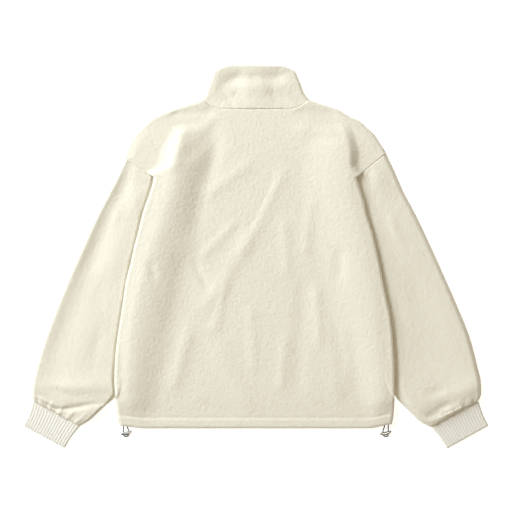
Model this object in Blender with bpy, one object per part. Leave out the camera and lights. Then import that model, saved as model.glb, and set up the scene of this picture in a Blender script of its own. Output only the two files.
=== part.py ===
"""Sherpa fleece jacket, laid flat on its front with its back up.

Frame, in metres: the ground is z = 0, +Y points to the collar, +X to the wearer's right sleeve as it
lies here. The fronts lie on the ground and the back lies on them. Each sleeve is a flattened tube, and
the body's sides rise over the inner strip of it. Every cloth piece is one closed wall.
"""

import math
from typing import NamedTuple

import bmesh
import bpy
import numpy as np
from mathutils import Matrix, Vector

# ---------------------------------------------------------------- driving sizes
CLOTH = 0.005            # pile fleece, pile on both faces
SEAM = 0.0004            # between two pieces at a seam
LAYER_GAP = 0.0006       # between two layers that lie on each other
LOFT = 0.0028            # how far the back stands off the fronts

HEM_Y = -0.346
NECK_Y = 0.303           # middle of the back neck seam
ARMHOLE_Y = 0.162        # where the armhole seam goes under the body's side
ARMHOLE_X = 0.206
NECK_RISE = 0.0195       # of the neck points above the middle of the neck seam
SHOULDER_END = 0.170     # half width at the neck seam's level
EDGE_STEPS = np.array([0.0, 0.003, 0.007, 0.012, 0.020, 0.030, 0.042])
BACK_MIDDLE = 13         # columns of the back between its two edge strips
FRONT_MIDDLE = 4
NECK_STEP = 2 * (SHOULDER_END - EDGE_STEPS[-1]) / (BACK_MIDDLE + 1)
NECK_X = 6 * NECK_STEP   # neck points, at the ends of the collar
NECK_CORNERS = 5         # straight stretches of each half of the front neck seam
FRONT_NECK_DROP = NECK_RISE / math.sin(math.radians(90 / NECK_CORNERS))

ZIP_HALF_GAP = 0.006     # half the gap between the front edges
SIDE_LIFT = 0.0122       # the body's sides rise this far, over the sleeves
LIFT_RUN = 0.018         # width of the fronts' slope up to it
SIDE_PUFF = {-1: 0.0040, 1: 0.0022}   # the back's raised sides stand this much higher on their crests
CAP_RUN = 0.030          # above the armhole the raised sides turn into folds over this height
EDGE_RUN = 0.010         # width of the rounded side edge
EDGE_ROLL = 0.0014       # the two layers close on each other by this much each
EDGE_THIN = 0.0024       # and the wall thins by this much
HEM_BAND = 0.021         # the stitched tunnel along the hem
HEM_PUFF = 0.0018
HEM_GROOVE = 0.0014

SLEEVE_EDGE = 0.0054     # radius of a sleeve's folded edges
CUFF_LENGTH = 0.0545
CUFF_WALL = 0.0024
CUFF_RIB = 0.0011
CUFF_EDGE = 0.0038       # radius of a cuff's folded edges
CUFF_RIBS = 36
POINTS_PER_RIB = 4

ZIP_BOTTOM = -0.337
ZIP_TOP = 0.364
TAPE_WIDTH = 0.0125
TAPE_THICK = 0.0008
CHAIN_WIDTH = 0.006
CHAIN_THICK = 0.0024
CHAIN_Z = 0.0057
SLIDER_LENGTH = 0.0105
SLIDER_WIDTH = 0.0088
SLIDER_THICK = 0.0036
PULL_LENGTH = 0.026
PULL_WIDTH = 0.0062
PULL_THICK = 0.001

CORD_DIAMETER = 0.0023
CORD_STEP = 0.0036       # between the points of its tube
TOGGLE_HALF = 0.0122
TOGGLE_THICK = 0.0058
TOGGLE_TILT = math.radians(12.5)
TOGGLE_BORE = 0.0031


# ---------------------------------------------------------------- tables
class SideRow(NamedTuple):
    """The body's visible side edges at one height: distances from the centre line."""
    y: float
    left: float
    right: float


SIDES = (
    SideRow(y=-0.346, left=0.2760, right=0.2785),
    SideRow(y=-0.334, left=0.2815, right=0.2815),
    SideRow(y=-0.303, left=0.2840, right=0.2835),
    SideRow(y=-0.252, left=0.2875, right=0.2840),
    SideRow(y=-0.211, left=0.2860, right=0.2830),
    SideRow(y=-0.170, left=0.2820, right=0.2805),
    SideRow(y=-0.129, left=0.2757, right=0.2760),
    SideRow(y=-0.088, left=0.2696, right=0.2680),
    SideRow(y=-0.047, left=0.2634, right=0.2595),
    SideRow(y=-0.016, left=0.2552, right=0.2535),
    SideRow(y=0.014, left=0.2490, right=0.2470),
    SideRow(y=0.051, left=0.2390, right=0.2380),
    SideRow(y=0.086, left=0.2306, right=0.2270),
    SideRow(y=0.117, left=0.2204, right=0.2195),
    SideRow(y=0.148, left=0.2100, right=0.2100),
    SideRow(y=ARMHOLE_Y, left=ARMHOLE_X, right=ARMHOLE_X),
)


class ShoulderRow(NamedTuple):
    """A point of a shoulder line, from the armhole seam's outer end to the neck."""
    x: float
    y: float


LEFT_SHOULDER = (
    ShoulderRow(x=0.2700, y=0.203),
    ShoulderRow(x=0.2655, y=0.219),
    ShoulderRow(x=0.2530, y=0.242),
    ShoulderRow(x=0.2370, y=0.262),
    ShoulderRow(x=0.2160, y=0.281),
    ShoulderRow(x=0.1960, y=0.293),
    ShoulderRow(x=SHOULDER_END, y=NECK_Y),
)
RIGHT_SHOULDER = (
    ShoulderRow(x=0.2675, y=0.213),
    ShoulderRow(x=0.2634, y=0.221),
    ShoulderRow(x=0.2530, y=0.237),
    ShoulderRow(x=0.2430, y=0.252),
    ShoulderRow(x=0.2310, y=0.263),
    ShoulderRow(x=0.2120, y=0.279),
    ShoulderRow(x=0.1900, y=0.290),
    ShoulderRow(x=SHOULDER_END, y=NECK_Y),
)


class SleeveRow(NamedTuple):
    """A section across a sleeve, from its outer fold to its inner one.

    crown is the height of the upper layer in the middle, and tuck the flat inner strip that the
    body's side lies on.
    """
    outer_x: float
    outer_y: float
    inner_x: float
    inner_y: float
    crown: float
    tuck: float


LEFT_SLEEVE = (
    SleeveRow(outer_x=0.2700, outer_y=0.203, inner_x=0.2050, inner_y=0.1610, crown=0.0140, tuck=0.006),
    SleeveRow(outer_x=0.2940, outer_y=0.154, inner_x=0.2060, inner_y=0.1110, crown=0.0154, tuck=0.018),
    SleeveRow(outer_x=0.3130, outer_y=0.119, inner_x=0.2120, inner_y=0.0680, crown=0.0157, tuck=0.026),
    SleeveRow(outer_x=0.3290, outer_y=0.088, inner_x=0.2180, inner_y=0.0310, crown=0.0158, tuck=0.028),
    SleeveRow(outer_x=0.3600, outer_y=0.020, inner_x=0.2330, inner_y=-0.0370, crown=0.0160, tuck=0.029),
    SleeveRow(outer_x=0.3900, outer_y=-0.047, inner_x=0.2450, inner_y=-0.1050, crown=0.0160, tuck=0.029),
    SleeveRow(outer_x=0.4190, outer_y=-0.119, inner_x=0.2570, inner_y=-0.1760, crown=0.0162, tuck=0.028),
    SleeveRow(outer_x=0.4420, outer_y=-0.184, inner_x=0.2700, inner_y=-0.2440, crown=0.0170, tuck=0.022),
    SleeveRow(outer_x=0.4560, outer_y=-0.232, inner_x=0.2865, inner_y=-0.2850, crown=0.0186, tuck=0.004),
    SleeveRow(outer_x=0.4620, outer_y=-0.262, inner_x=0.3110, inner_y=-0.3080, crown=0.0194, tuck=0.000),
    SleeveRow(outer_x=0.4620, outer_y=-0.281, inner_x=0.3390, inner_y=-0.3340, crown=0.0176, tuck=0.000),
    SleeveRow(outer_x=0.4580, outer_y=-0.295, inner_x=0.3600, inner_y=-0.3475, crown=0.0120, tuck=0.000),
)
RIGHT_SLEEVE = (
    SleeveRow(outer_x=0.2675, outer_y=0.213, inner_x=0.2050, inner_y=0.1610, crown=0.0140, tuck=0.006),
    SleeveRow(outer_x=0.2860, outer_y=0.174, inner_x=0.2060, inner_y=0.1090, crown=0.0152, tuck=0.016),
    SleeveRow(outer_x=0.3040, outer_y=0.133, inner_x=0.2120, inner_y=0.0630, crown=0.0155, tuck=0.024),
    SleeveRow(outer_x=0.3250, outer_y=0.094, inner_x=0.2170, inner_y=0.0270, crown=0.0157, tuck=0.027),
    SleeveRow(outer_x=0.3560, outer_y=0.029, inner_x=0.2310, inner_y=-0.0410, crown=0.0160, tuck=0.028),
    SleeveRow(outer_x=0.3860, outer_y=-0.037, inner_x=0.2430, inner_y=-0.1050, crown=0.0160, tuck=0.029),
    SleeveRow(outer_x=0.4150, outer_y=-0.103, inner_x=0.2550, inner_y=-0.1760, crown=0.0163, tuck=0.028),
    SleeveRow(outer_x=0.4400, outer_y=-0.166, inner_x=0.2665, inner_y=-0.2440, crown=0.0172, tuck=0.022),
    SleeveRow(outer_x=0.4560, outer_y=-0.226, inner_x=0.2865, inner_y=-0.2850, crown=0.0188, tuck=0.004),
    SleeveRow(outer_x=0.4630, outer_y=-0.258, inner_x=0.3085, inner_y=-0.3095, crown=0.0194, tuck=0.000),
    SleeveRow(outer_x=0.4635, outer_y=-0.279, inner_x=0.3390, inner_y=-0.3390, crown=0.0176, tuck=0.000),
    SleeveRow(outer_x=0.4585, outer_y=-0.295, inner_x=0.3600, inner_y=-0.3495, crown=0.0120, tuck=0.000),
)


class FlankRow(NamedTuple):
    """A raised side of the back at one height, as distances from the centre line: the foot of the
    slope up to its crest, the crest, and where it has closed again."""
    y: float
    foot: float
    crest: float
    close: float


LEFT_FLANK = (
    FlankRow(y=-0.346, foot=0.222, crest=0.258, close=0.2760),
    FlankRow(y=-0.300, foot=0.215, crest=0.258, close=0.2840),
    FlankRow(y=-0.210, foot=0.185, crest=0.254, close=0.2860),
    FlankRow(y=-0.120, foot=0.148, crest=0.244, close=0.2745),
    FlankRow(y=-0.060, foot=0.134, crest=0.232, close=0.2650),
    FlankRow(y=0.022, foot=0.116, crest=0.208, close=0.2470),
    FlankRow(y=0.107, foot=0.100, crest=0.180, close=0.2235),
    FlankRow(y=ARMHOLE_Y, foot=0.088, crest=0.166, close=ARMHOLE_X),
    FlankRow(y=0.211, foot=0.078, crest=0.157, close=0.2000),
    FlankRow(y=0.245, foot=0.086, crest=0.152, close=0.1820),
    FlankRow(y=0.275, foot=0.100, crest=0.150, close=0.1720),
)
RIGHT_FLANK = (
    FlankRow(y=-0.346, foot=0.215, crest=0.262, close=0.2785),
    FlankRow(y=-0.300, foot=0.210, crest=0.262, close=0.2835),
    FlankRow(y=-0.210, foot=0.180, crest=0.256, close=0.2830),
    FlankRow(y=-0.088, foot=0.140, crest=0.243, close=0.2680),
    FlankRow(y=0.030, foot=0.112, crest=0.220, close=0.2430),
    FlankRow(y=0.107, foot=0.095, crest=0.200, close=0.2225),
    FlankRow(y=ARMHOLE_Y, foot=0.085, crest=0.190, close=ARMHOLE_X),
    FlankRow(y=0.211, foot=0.085, crest=0.190, close=0.2140),
    FlankRow(y=0.245, foot=0.105, crest=0.183, close=0.2070),
    FlankRow(y=0.275, foot=0.115, crest=0.175, close=0.1950),
)


class LoftRow(NamedTuple):
    """The back at one height: how far its middle stands off the fronts, and the share of the lift
    that its raised sides have there."""
    y: float
    middle: float
    share: float


LOFTS = (
    LoftRow(y=-0.346, middle=0.0028, share=0.00),
    LoftRow(y=-0.325, middle=0.0030, share=0.15),
    LoftRow(y=-0.290, middle=0.0042, share=0.80),
    LoftRow(y=-0.255, middle=0.0047, share=1.00),
    LoftRow(y=0.000, middle=0.0050, share=1.00),
    LoftRow(y=0.180, middle=0.0050, share=1.00),
    LoftRow(y=0.220, middle=0.0047, share=0.86),
    LoftRow(y=0.250, middle=0.0042, share=0.50),
    LoftRow(y=0.280, middle=0.0034, share=0.00),
    LoftRow(y=0.303, middle=0.0028, share=0.00),
)


class Fold(NamedTuple):
    """A soft ridge, or a trough where height is negative, along a straight line on a panel."""
    x0: float
    y0: float
    x1: float
    y1: float
    width: float
    height: float


BACK_FOLDS = (
    Fold(x0=-0.082, y0=0.232, x1=-0.092, y1=0.188, width=0.018, height=-0.0022),
    Fold(x0=-0.150, y0=0.302, x1=-0.104, y1=0.304, width=0.009, height=-0.0024),
    Fold(x0=0.100, y0=0.304, x1=0.152, y1=0.301, width=0.009, height=-0.0022),
    Fold(x0=-0.112, y0=0.145, x1=-0.126, y1=0.070, width=0.016, height=-0.0012),
    Fold(x0=-0.150, y0=-0.020, x1=-0.172, y1=-0.120, width=0.020, height=-0.0014),
    Fold(x0=-0.022, y0=0.184, x1=-0.085, y1=0.135, width=0.013, height=0.0013),
    Fold(x0=0.050, y0=0.158, x1=-0.020, y1=0.025, width=0.016, height=0.0015),
    Fold(x0=-0.022, y0=0.020, x1=-0.095, y1=-0.090, width=0.017, height=0.0017),
    Fold(x0=0.110, y0=0.246, x1=0.155, y1=0.228, width=0.022, height=0.0016),
    Fold(x0=0.173, y0=-0.002, x1=0.172, y1=-0.030, width=0.013, height=-0.0018),
    Fold(x0=0.098, y0=-0.070, x1=0.088, y1=-0.250, width=0.016, height=-0.0014),
    Fold(x0=-0.070, y0=-0.200, x1=-0.020, y1=-0.290, width=0.020, height=0.0014),
    Fold(x0=-0.150, y0=-0.170, x1=-0.180, y1=-0.260, width=0.024, height=0.0014),
    Fold(x0=0.150, y0=-0.150, x1=0.165, y1=-0.260, width=0.020, height=0.0012),
)


class SleeveFold(NamedTuple):
    """A soft ridge or trough on a sleeve: along runs 0 to 1 from armhole to cuff, across from outer
    to inner fold, the reaches are half lengths in those shares, and slant is how far along it moves
    from the outer fold to the inner one."""
    along: float
    across: float
    reach_along: float
    reach_across: float
    height: float
    slant: float = 0.0


SLEEVE_FOLDS = {
    -1: (
        SleeveFold(along=0.10, across=0.25, reach_along=0.060, reach_across=0.13, height=-0.0040),
        SleeveFold(along=0.21, across=0.19, reach_along=0.055, reach_across=0.12, height=-0.0036),
        SleeveFold(along=0.12, across=0.62, reach_along=0.085, reach_across=0.13, height=0.0026),
        SleeveFold(along=0.36, across=0.21, reach_along=0.065, reach_across=0.12, height=-0.0042),
        SleeveFold(along=0.34, across=0.58, reach_along=0.080, reach_across=0.13, height=0.0018),
        SleeveFold(along=0.46, across=0.50, reach_along=0.045, reach_across=0.12, height=-0.0022),
        SleeveFold(along=0.60, across=0.15, reach_along=0.070, reach_across=0.10, height=-0.0034),
        SleeveFold(along=0.74, across=0.50, reach_along=0.042, reach_across=0.42, height=0.0030, slant=-0.16),
        SleeveFold(along=0.88, across=0.66, reach_along=0.026, reach_across=0.24, height=-0.0040, slant=-0.30),
    ),
    1: (
        SleeveFold(along=0.10, across=0.76, reach_along=0.080, reach_across=0.16, height=-0.0030),
        SleeveFold(along=0.08, across=0.36, reach_along=0.060, reach_across=0.16, height=0.0018),
        SleeveFold(along=0.33, across=0.30, reach_along=0.100, reach_across=0.14, height=0.0016),
        SleeveFold(along=0.46, across=0.62, reach_along=0.100, reach_across=0.14, height=-0.0030),
        SleeveFold(along=0.62, across=0.58, reach_along=0.090, reach_across=0.14, height=-0.0034),
        SleeveFold(along=0.60, across=0.20, reach_along=0.100, reach_across=0.12, height=0.0016),
        SleeveFold(along=0.80, across=0.42, reach_along=0.050, reach_across=0.34, height=0.0030, slant=0.05),
        SleeveFold(along=0.90, across=0.78, reach_along=0.030, reach_across=0.14, height=-0.0034),
    ),
}
GATHERS = 6              # soft pleats round each sleeve's end at the cuff
GATHER_DEPTH = 0.0012


class CordPoint(NamedTuple):
    """A point of the left cord's route; the right one is its mirror image, then moved."""
    x: float
    y: float
    z: float


CORD_ROUTE = (
    CordPoint(x=-0.2636, y=-0.3410, z=0.0076),
    CordPoint(x=-0.2632, y=-0.3480, z=0.0074),
    CordPoint(x=-0.2618, y=-0.3535, z=0.0058),
    CordPoint(x=-0.2606, y=-0.3585, z=0.0037),
    CordPoint(x=-0.2603, y=-0.3630, z=0.0034),
    CordPoint(x=-0.2622, y=-0.3675, z=0.0034),
    CordPoint(x=-0.2662, y=-0.3692, z=0.0034),
    CordPoint(x=-0.2702, y=-0.3680, z=0.0034),
    CordPoint(x=-0.2716, y=-0.3640, z=0.0034),
    CordPoint(x=-0.2713, y=-0.3595, z=0.0037),
    CordPoint(x=-0.2712, y=-0.3540, z=0.0057),
    CordPoint(x=-0.2712, y=-0.3480, z=0.0074),
    CordPoint(x=-0.2712, y=-0.3410, z=0.0076),
)
TOGGLE_CENTRE = (-0.2660, -0.3625, 0.0034)
RIGHT_CORD_SHIFT = 0.0015


# ---------------------------------------------------------------- scene and materials
def clear_scene():
    """Remove every object of the scene that the file opened with."""
    for item in list(bpy.data.objects):
        bpy.data.objects.remove(item, do_unlink=True)


def new_collection(name):
    """A collection linked to the scene."""
    group = bpy.data.collections.new(name)
    bpy.context.scene.collection.children.link(group)
    return group


def material(name, colour, roughness, metallic=0.0):
    """A Principled material; colour is linear red, green and blue."""
    made = bpy.data.materials.new(name)
    made.use_nodes = True
    shader = made.node_tree.nodes["Principled BSDF"]
    shader.inputs["Base Color"].default_value = (*colour, 1.0)
    shader.inputs["Roughness"].default_value = roughness
    shader.inputs["Metallic"].default_value = metallic
    made.diffuse_color = (*colour, 1.0)
    return made


FLEECE = (0.80, 0.72, 0.57)
RIB_KNIT = (0.72, 0.66, 0.55)
METAL = (0.62, 0.62, 0.63)
ELASTIC = (0.035, 0.033, 0.032)
TAPE = (0.78, 0.71, 0.57)


# ---------------------------------------------------------------- mesh helpers
def add_object(name, mesh, group, finish):
    """Link a mesh as the named object of a group, with its own material."""
    item = bpy.data.objects.new(name, mesh)
    group.objects.link(item)
    mesh.materials.clear()
    mesh.materials.append(material(name, *finish))
    return item


def wall_mesh(name, outer, inner, ring):
    """A closed wall between two grids of points.

    outer and inner have the shape rows x columns x 3. The outer grid faces out. With ring set, the
    last column joins the first one, and only the two end rows get a rim.
    """
    rows, columns = outer.shape[:2]
    bm = bmesh.new()
    skins = []
    for grid in (outer, inner):
        skins.append([[bm.verts.new(point) for point in line] for line in grid])
    spans = columns if ring else columns - 1
    for flip, skin in zip((False, True), skins):
        for i in range(rows - 1):
            for j in range(spans):
                k = (j + 1) % columns
                corners = [skin[i][j], skin[i][k], skin[i + 1][k], skin[i + 1][j]]
                bm.faces.new(corners[::-1] if flip else corners)
    face, lining = skins
    for j in range(spans):
        k = (j + 1) % columns
        bm.faces.new([face[0][k], face[0][j], lining[0][j], lining[0][k]])
        bm.faces.new([face[-1][j], face[-1][k], lining[-1][k], lining[-1][j]])
    if not ring:
        for i in range(rows - 1):
            bm.faces.new([face[i][0], face[i + 1][0], lining[i + 1][0], lining[i][0]])
            bm.faces.new([face[i + 1][-1], face[i][-1], lining[i][-1], lining[i + 1][-1]])
    bmesh.ops.recalc_face_normals(bm, faces=bm.faces)
    mesh = bpy.data.meshes.new(name)
    bm.to_mesh(mesh)
    bm.free()
    mesh.shade_smooth()
    mesh.set_sharp_from_angle(angle=math.radians(50))
    return mesh


def box_mesh(name, low, high, bevel=0.0):
    """A box between two corners, with its edges rounded where bevel is given."""
    bm = bmesh.new()
    size = [b - a for a, b in zip(low, high)]
    middle = [(a + b) / 2 for a, b in zip(low, high)]
    place = Matrix.Translation(middle) @ Matrix.Diagonal((*size, 1.0))
    bmesh.ops.create_cube(bm, size=1.0, matrix=place)
    if bevel:
        bmesh.ops.bevel(bm, geom=bm.edges[:], offset=bevel, segments=2, profile=0.5, affect="EDGES")
    mesh = bpy.data.meshes.new(name)
    bm.to_mesh(mesh)
    bm.free()
    return mesh


def smoothstep(low, high, value):
    """0 below low, 1 above high, smooth between; low may be the larger one."""
    share = np.clip((value - low) / (high - low), 0.0, 1.0)
    return share * share * (3.0 - 2.0 * share)


def through(knots, values, at):
    """Smooth curve through a table that never overshoots it, read at the places given."""
    knots = np.asarray(knots, float)
    values = np.asarray(values, float)
    at = np.asarray(at, float)
    steps = np.diff(knots)
    slopes = np.diff(values) / steps
    tangent = np.zeros_like(values)
    same_way = slopes[:-1] * slopes[1:] > 0
    total = np.where(same_way, slopes[:-1] + slopes[1:], 1.0)
    tangent[1:-1] = np.where(same_way, 2.0 * slopes[:-1] * slopes[1:] / total, 0.0)
    tangent[0] = slopes[0]
    tangent[-1] = slopes[-1]
    place = np.clip(np.searchsorted(knots, at) - 1, 0, len(steps) - 1)
    step = steps[place]
    t = np.clip((at - knots[place]) / step, 0.0, 1.0)
    start = (1 + 2 * t) * (1 - t) ** 2 * values[place] + t * (1 - t) ** 2 * step * tangent[place]
    end = t * t * (3 - 2 * t) * values[place + 1] - t * t * (1 - t) * step * tangent[place + 1]
    return start + end


# ---------------------------------------------------------------- body outline
def side_edge(y, side):
    """Distance of the body's edge from the centre line: side -1 is left, +1 right."""
    shoulder = LEFT_SHOULDER if side < 0 else RIGHT_SHOULDER
    seam_end = shoulder[0]
    rows = np.array([row.y for row in SIDES])
    edges = np.array([row.left if side < 0 else row.right for row in SIDES])
    low = through(rows, edges, np.minimum(y, ARMHOLE_Y))
    seam = ARMHOLE_X + (seam_end.x - ARMHOLE_X) * (y - ARMHOLE_Y) / (seam_end.y - ARMHOLE_Y)
    high = through([row.y for row in shoulder], [row.x for row in shoulder], np.maximum(y, seam_end.y))
    return np.where(y <= ARMHOLE_Y, low, np.where(y <= seam_end.y, seam, high))


def sleeve_edge(y, side):
    """Distance of a sleeve's hidden inner edge from the centre line."""
    table = LEFT_SLEEVE if side < 0 else RIGHT_SLEEVE
    rows = table[::-1]
    return through([row.inner_y for row in rows], [row.inner_x for row in rows], y)


def body_rows():
    """Heights of a panel's rows: close where the seams and the hem band need them."""
    hem = HEM_Y + np.array([0.0, 0.004, 0.5, 0.9, 1.0, 1.1, 1.6]) * np.array([1, 1] + [HEM_BAND] * 5)
    sides = np.linspace(-0.290, 0.142, 14)
    armhole = np.array([0.152, ARMHOLE_Y, 0.172, 0.184, LEFT_SHOULDER[0].y, RIGHT_SHOULDER[0].y])
    shoulders = front_neck_corners()[1][:-1]
    return np.concatenate([hem, sides, armhole, [0.226, 0.243], shoulders])


def back_neck(x):
    """Rise of the back's top edge: it climbs to the neck points, and the neck seam dips between."""
    reach = [4 * NECK_STEP, 5 * NECK_STEP, NECK_X, SHOULDER_END]
    return NECK_RISE * np.interp(np.abs(x), reach, [0.0, 0.30, 1.0, 0.0])


def front_neck_corners():
    """Corners of the front neck seam on one side, from the centre front to the neck point."""
    turn = np.radians(np.linspace(90.0, 0.0, NECK_CORNERS + 1))
    reach = ZIP_HALF_GAP + (NECK_X - ZIP_HALF_GAP) * np.cos(turn)
    return reach, NECK_Y + NECK_RISE - FRONT_NECK_DROP * np.sin(turn)


def front_shoulder(x):
    """Rise of a front's top edge from its last row's height to the neck point."""
    start = front_neck_corners()[0][-2] + SEAM
    return NECK_RISE * np.interp(np.abs(x), [start, NECK_X, SHOULDER_END], [0.0, 1.0, 0.0])


def hem_sag(x):
    """The hem hangs a little lower between its corners, and the right corner is a little high."""
    return -0.0045 * (1.0 - smoothstep(0.225, 0.275, np.abs(x))) + 0.0035 * smoothstep(0.24, 0.28, x)


def place_rows(x, y_row, top_edge):
    """Height of a point: its row's, bent to the top edge and, at the bottom, to the hem."""
    near_neck = smoothstep(0.275, NECK_Y, y_row)
    near_hem = 1.0 - smoothstep(HEM_Y + HEM_BAND, HEM_Y + 4 * HEM_BAND, y_row)
    return y_row + near_neck * top_edge(x) + near_hem * hem_sag(x)


# ---------------------------------------------------------------- body heights
def back_lift(x, y):
    """How far the back rises over the sleeves, with the folds that run on past the armholes.

    It never lies lower than side_lift, so the back stays clear of the fronts.
    """
    heights = [row.y for row in LOFTS]
    share = through(heights, [row.share for row in LOFTS], y)
    middle = through(heights, [row.middle for row in LOFTS], y) - LOFT
    onto = smoothstep(ARMHOLE_Y, ARMHOLE_Y + CAP_RUN, y)
    lift = np.zeros_like(x)
    inside = np.ones_like(x)
    for side, rows in ((-1, LEFT_FLANK), (1, RIGHT_FLANK)):
        foot, crest, close = (through([row.y for row in rows], [getattr(row, part) for row in rows], y)
                              for part in ("foot", "crest", "close"))
        away = side * x
        rise = smoothstep(foot, crest, away)
        start = ARMHOLE_X + (crest - ARMHOLE_X) * onto
        end = ARMHOLE_X + CAP_RUN + (close - ARMHOLE_X - CAP_RUN) * onto
        past = np.where(y > ARMHOLE_Y, smoothstep(start, end, away), 0.0)
        puff = SIDE_PUFF[side] * (1.0 - smoothstep(crest, close, away))
        lift += share * rise * (SIDE_LIFT * (1.0 - past) + puff)
        inside -= rise
    return np.maximum(lift, side_lift(x, y)) + middle * inside


def side_lift(x, y):
    """How far the sleeve under a side lifts the fronts there."""
    lift = np.zeros_like(x)
    over = (1.0 - smoothstep(0.158, 0.182, y)) * smoothstep(-0.318, -0.291, y)
    for side in (-1, 1):
        edge = sleeve_edge(np.minimum(y, ARMHOLE_Y), side)
        lift += smoothstep(edge - LIFT_RUN, edge, side * x)
    return SIDE_LIFT * lift * over


def edge_share(x, y_row):
    """1 at a side or shoulder edge, 0 further in than the rounded strip and at the armhole seam."""
    share = np.zeros_like(x)
    for side, shoulder in ((-1, LEFT_SHOULDER), (1, RIGHT_SHOULDER)):
        inward = np.clip((side_edge(y_row, side) - side * x) / EDGE_RUN, 0.0, 1.0)
        below = 1.0 - smoothstep(0.148, ARMHOLE_Y, y_row)
        above = smoothstep(shoulder[0].y, shoulder[0].y + 0.02, y_row)
        share += (1.0 - inward) ** 2 * (below + above)
    return share


def fold_height(x, y, folds):
    """Sum of the folds at each point."""
    height = np.zeros_like(x)
    for fold in folds:
        run = np.array([fold.x1 - fold.x0, fold.y1 - fold.y0])
        length = np.hypot(*run)
        along = ((x - fold.x0) * run[0] + (y - fold.y0) * run[1]) / length
        off = ((x - fold.x0) * run[1] - (y - fold.y0) * run[0]) / length
        past = np.maximum(np.maximum(-along, along - length), 0.0)
        height += fold.height * np.exp(-(off / fold.width) ** 2 - (past / (1.5 * fold.width)) ** 2)
    return height


def back_loft(x, y, y_row):
    """How far the back stands off the fronts, with its folds and its hem tunnel.

    No trough reaches the zip in the middle or the closed edges.
    """
    into_band = HEM_Y + HEM_BAND - y_row
    band = HEM_PUFF * smoothstep(0.0, 0.25 * HEM_BAND, into_band)
    off_edge = np.minimum(side_edge(y_row, -1) + x, side_edge(y_row, 1) - x)
    groove = HEM_GROOVE * np.exp(-(into_band / (0.12 * HEM_BAND)) ** 2)
    groove = groove * smoothstep(0.002, 0.014, off_edge)
    folds = fold_height(x, y, BACK_FOLDS)
    room = smoothstep(0.018, 0.045, np.abs(x)) * smoothstep(0.006, 0.035, off_edge)
    folds = np.where(folds < 0, folds * room, folds)
    return np.maximum(LOFT + folds, 0.0002) + band - groove


def panel_grid(columns, y_rows, top_edge):
    """Points of a body panel: columns gives each row's distances in X."""
    x = np.stack([columns(y) for y in y_rows])
    y_row = np.repeat(np.asarray(y_rows)[:, None], x.shape[1], axis=1)
    return x, place_rows(x, y_row, top_edge), y_row


def stack(x, y, z):
    """Rows x columns x 3 from three grids."""
    return np.stack([x, y, z], axis=-1)


def back_columns(y):
    """Places across the back at one height, close together at the side edges."""
    left = -side_edge(y, -1) + EDGE_STEPS
    right = side_edge(y, 1) - EDGE_STEPS[::-1]
    middle = np.linspace(left[-1], right[0], BACK_MIDDLE + 2)[1:-1]
    return np.concatenate([left, middle, right])


def make_back(group):
    """The back panel, which lies on the fronts."""
    x, y, y_row = panel_grid(back_columns, body_rows(), back_neck)
    edge = edge_share(x, y_row)
    under = back_lift(x, y_row) + CLOTH + LAYER_GAP + back_loft(x, y, y_row) - EDGE_ROLL * edge
    over = under + CLOTH - EDGE_THIN * edge
    mesh = wall_mesh("back", stack(x, y, over), stack(x, y, under), ring=False)
    return add_object("back", mesh, group, (FLEECE, 0.95))


def make_front(name, side, group):
    """A front panel, flat on the ground, whose side rises over the sleeve."""
    neck_reach, neck_height = front_neck_corners()
    rows = body_rows()

    def columns(y):
        outer = side_edge(y, side) - EDGE_STEPS
        inner = np.interp(y, neck_height, neck_reach) + SEAM
        middle = np.linspace(outer[-1], inner, FRONT_MIDDLE + 2)[1:]
        return np.sort(side * np.concatenate([outer, middle]))

    x, y, y_row = panel_grid(columns, rows, front_shoulder)
    edge = edge_share(x, y_row)
    top = side_lift(x, y_row) + CLOTH + EDGE_ROLL * edge
    under = top - CLOTH + EDGE_THIN * edge
    mesh = wall_mesh(name, stack(x, y, under), stack(x, y, top), ring=False)
    return add_object(name, mesh, group, (FLEECE, 0.95))


# ---------------------------------------------------------------- tubes laid flat
ARC = np.radians([60.0, 30.0, 0.0, -30.0, -60.0])


def flat_ring(width, radius, top_at, thickness, top_points, bottom_points):
    """Outer and inner section of a tube laid flat, as distances from its outer fold and heights.

    top_at gives the upper layer's height at each distance; the lower layer lies on the ground.
    """
    top = np.linspace(radius, width - radius, top_points)
    bottom = np.linspace(width - radius, radius, bottom_points)
    sections = []
    for depth in (0.0, thickness):
        r = radius - depth
        inner_fold = np.stack([width - radius + r * np.cos(ARC), radius + r * np.sin(ARC)])
        outer_fold = np.stack([radius - r * np.cos(ARC), radius - r * np.sin(ARC)])
        upper = np.stack([top, top_at(top) - depth])
        lower = np.stack([bottom, np.full(bottom_points, depth)])
        sections.append(np.concatenate([upper, inner_fold, lower, outer_fold], axis=1).T)
    return sections


SLEEVE_ROWS = 21
SLEEVE_TOP = 13
SLEEVE_BOTTOM = 4
OUTER_RUN = 0.042        # from a sleeve's outer fold up to its crown
INNER_RUN = 0.050        # and down from the crown to the tuck


def sleeve_rows(table):
    """The sleeve's table read closely: one named tuple for each of the wall's rows."""
    knots = np.arange(len(table), dtype=float)
    at = (len(table) - 1) * np.linspace(0.0, 1.0, SLEEVE_ROWS)
    columns = [through(knots, [getattr(row, name) for row in table], at) for name in SleeveRow._fields]
    return [SleeveRow(*values) for values in zip(*columns)]


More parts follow.
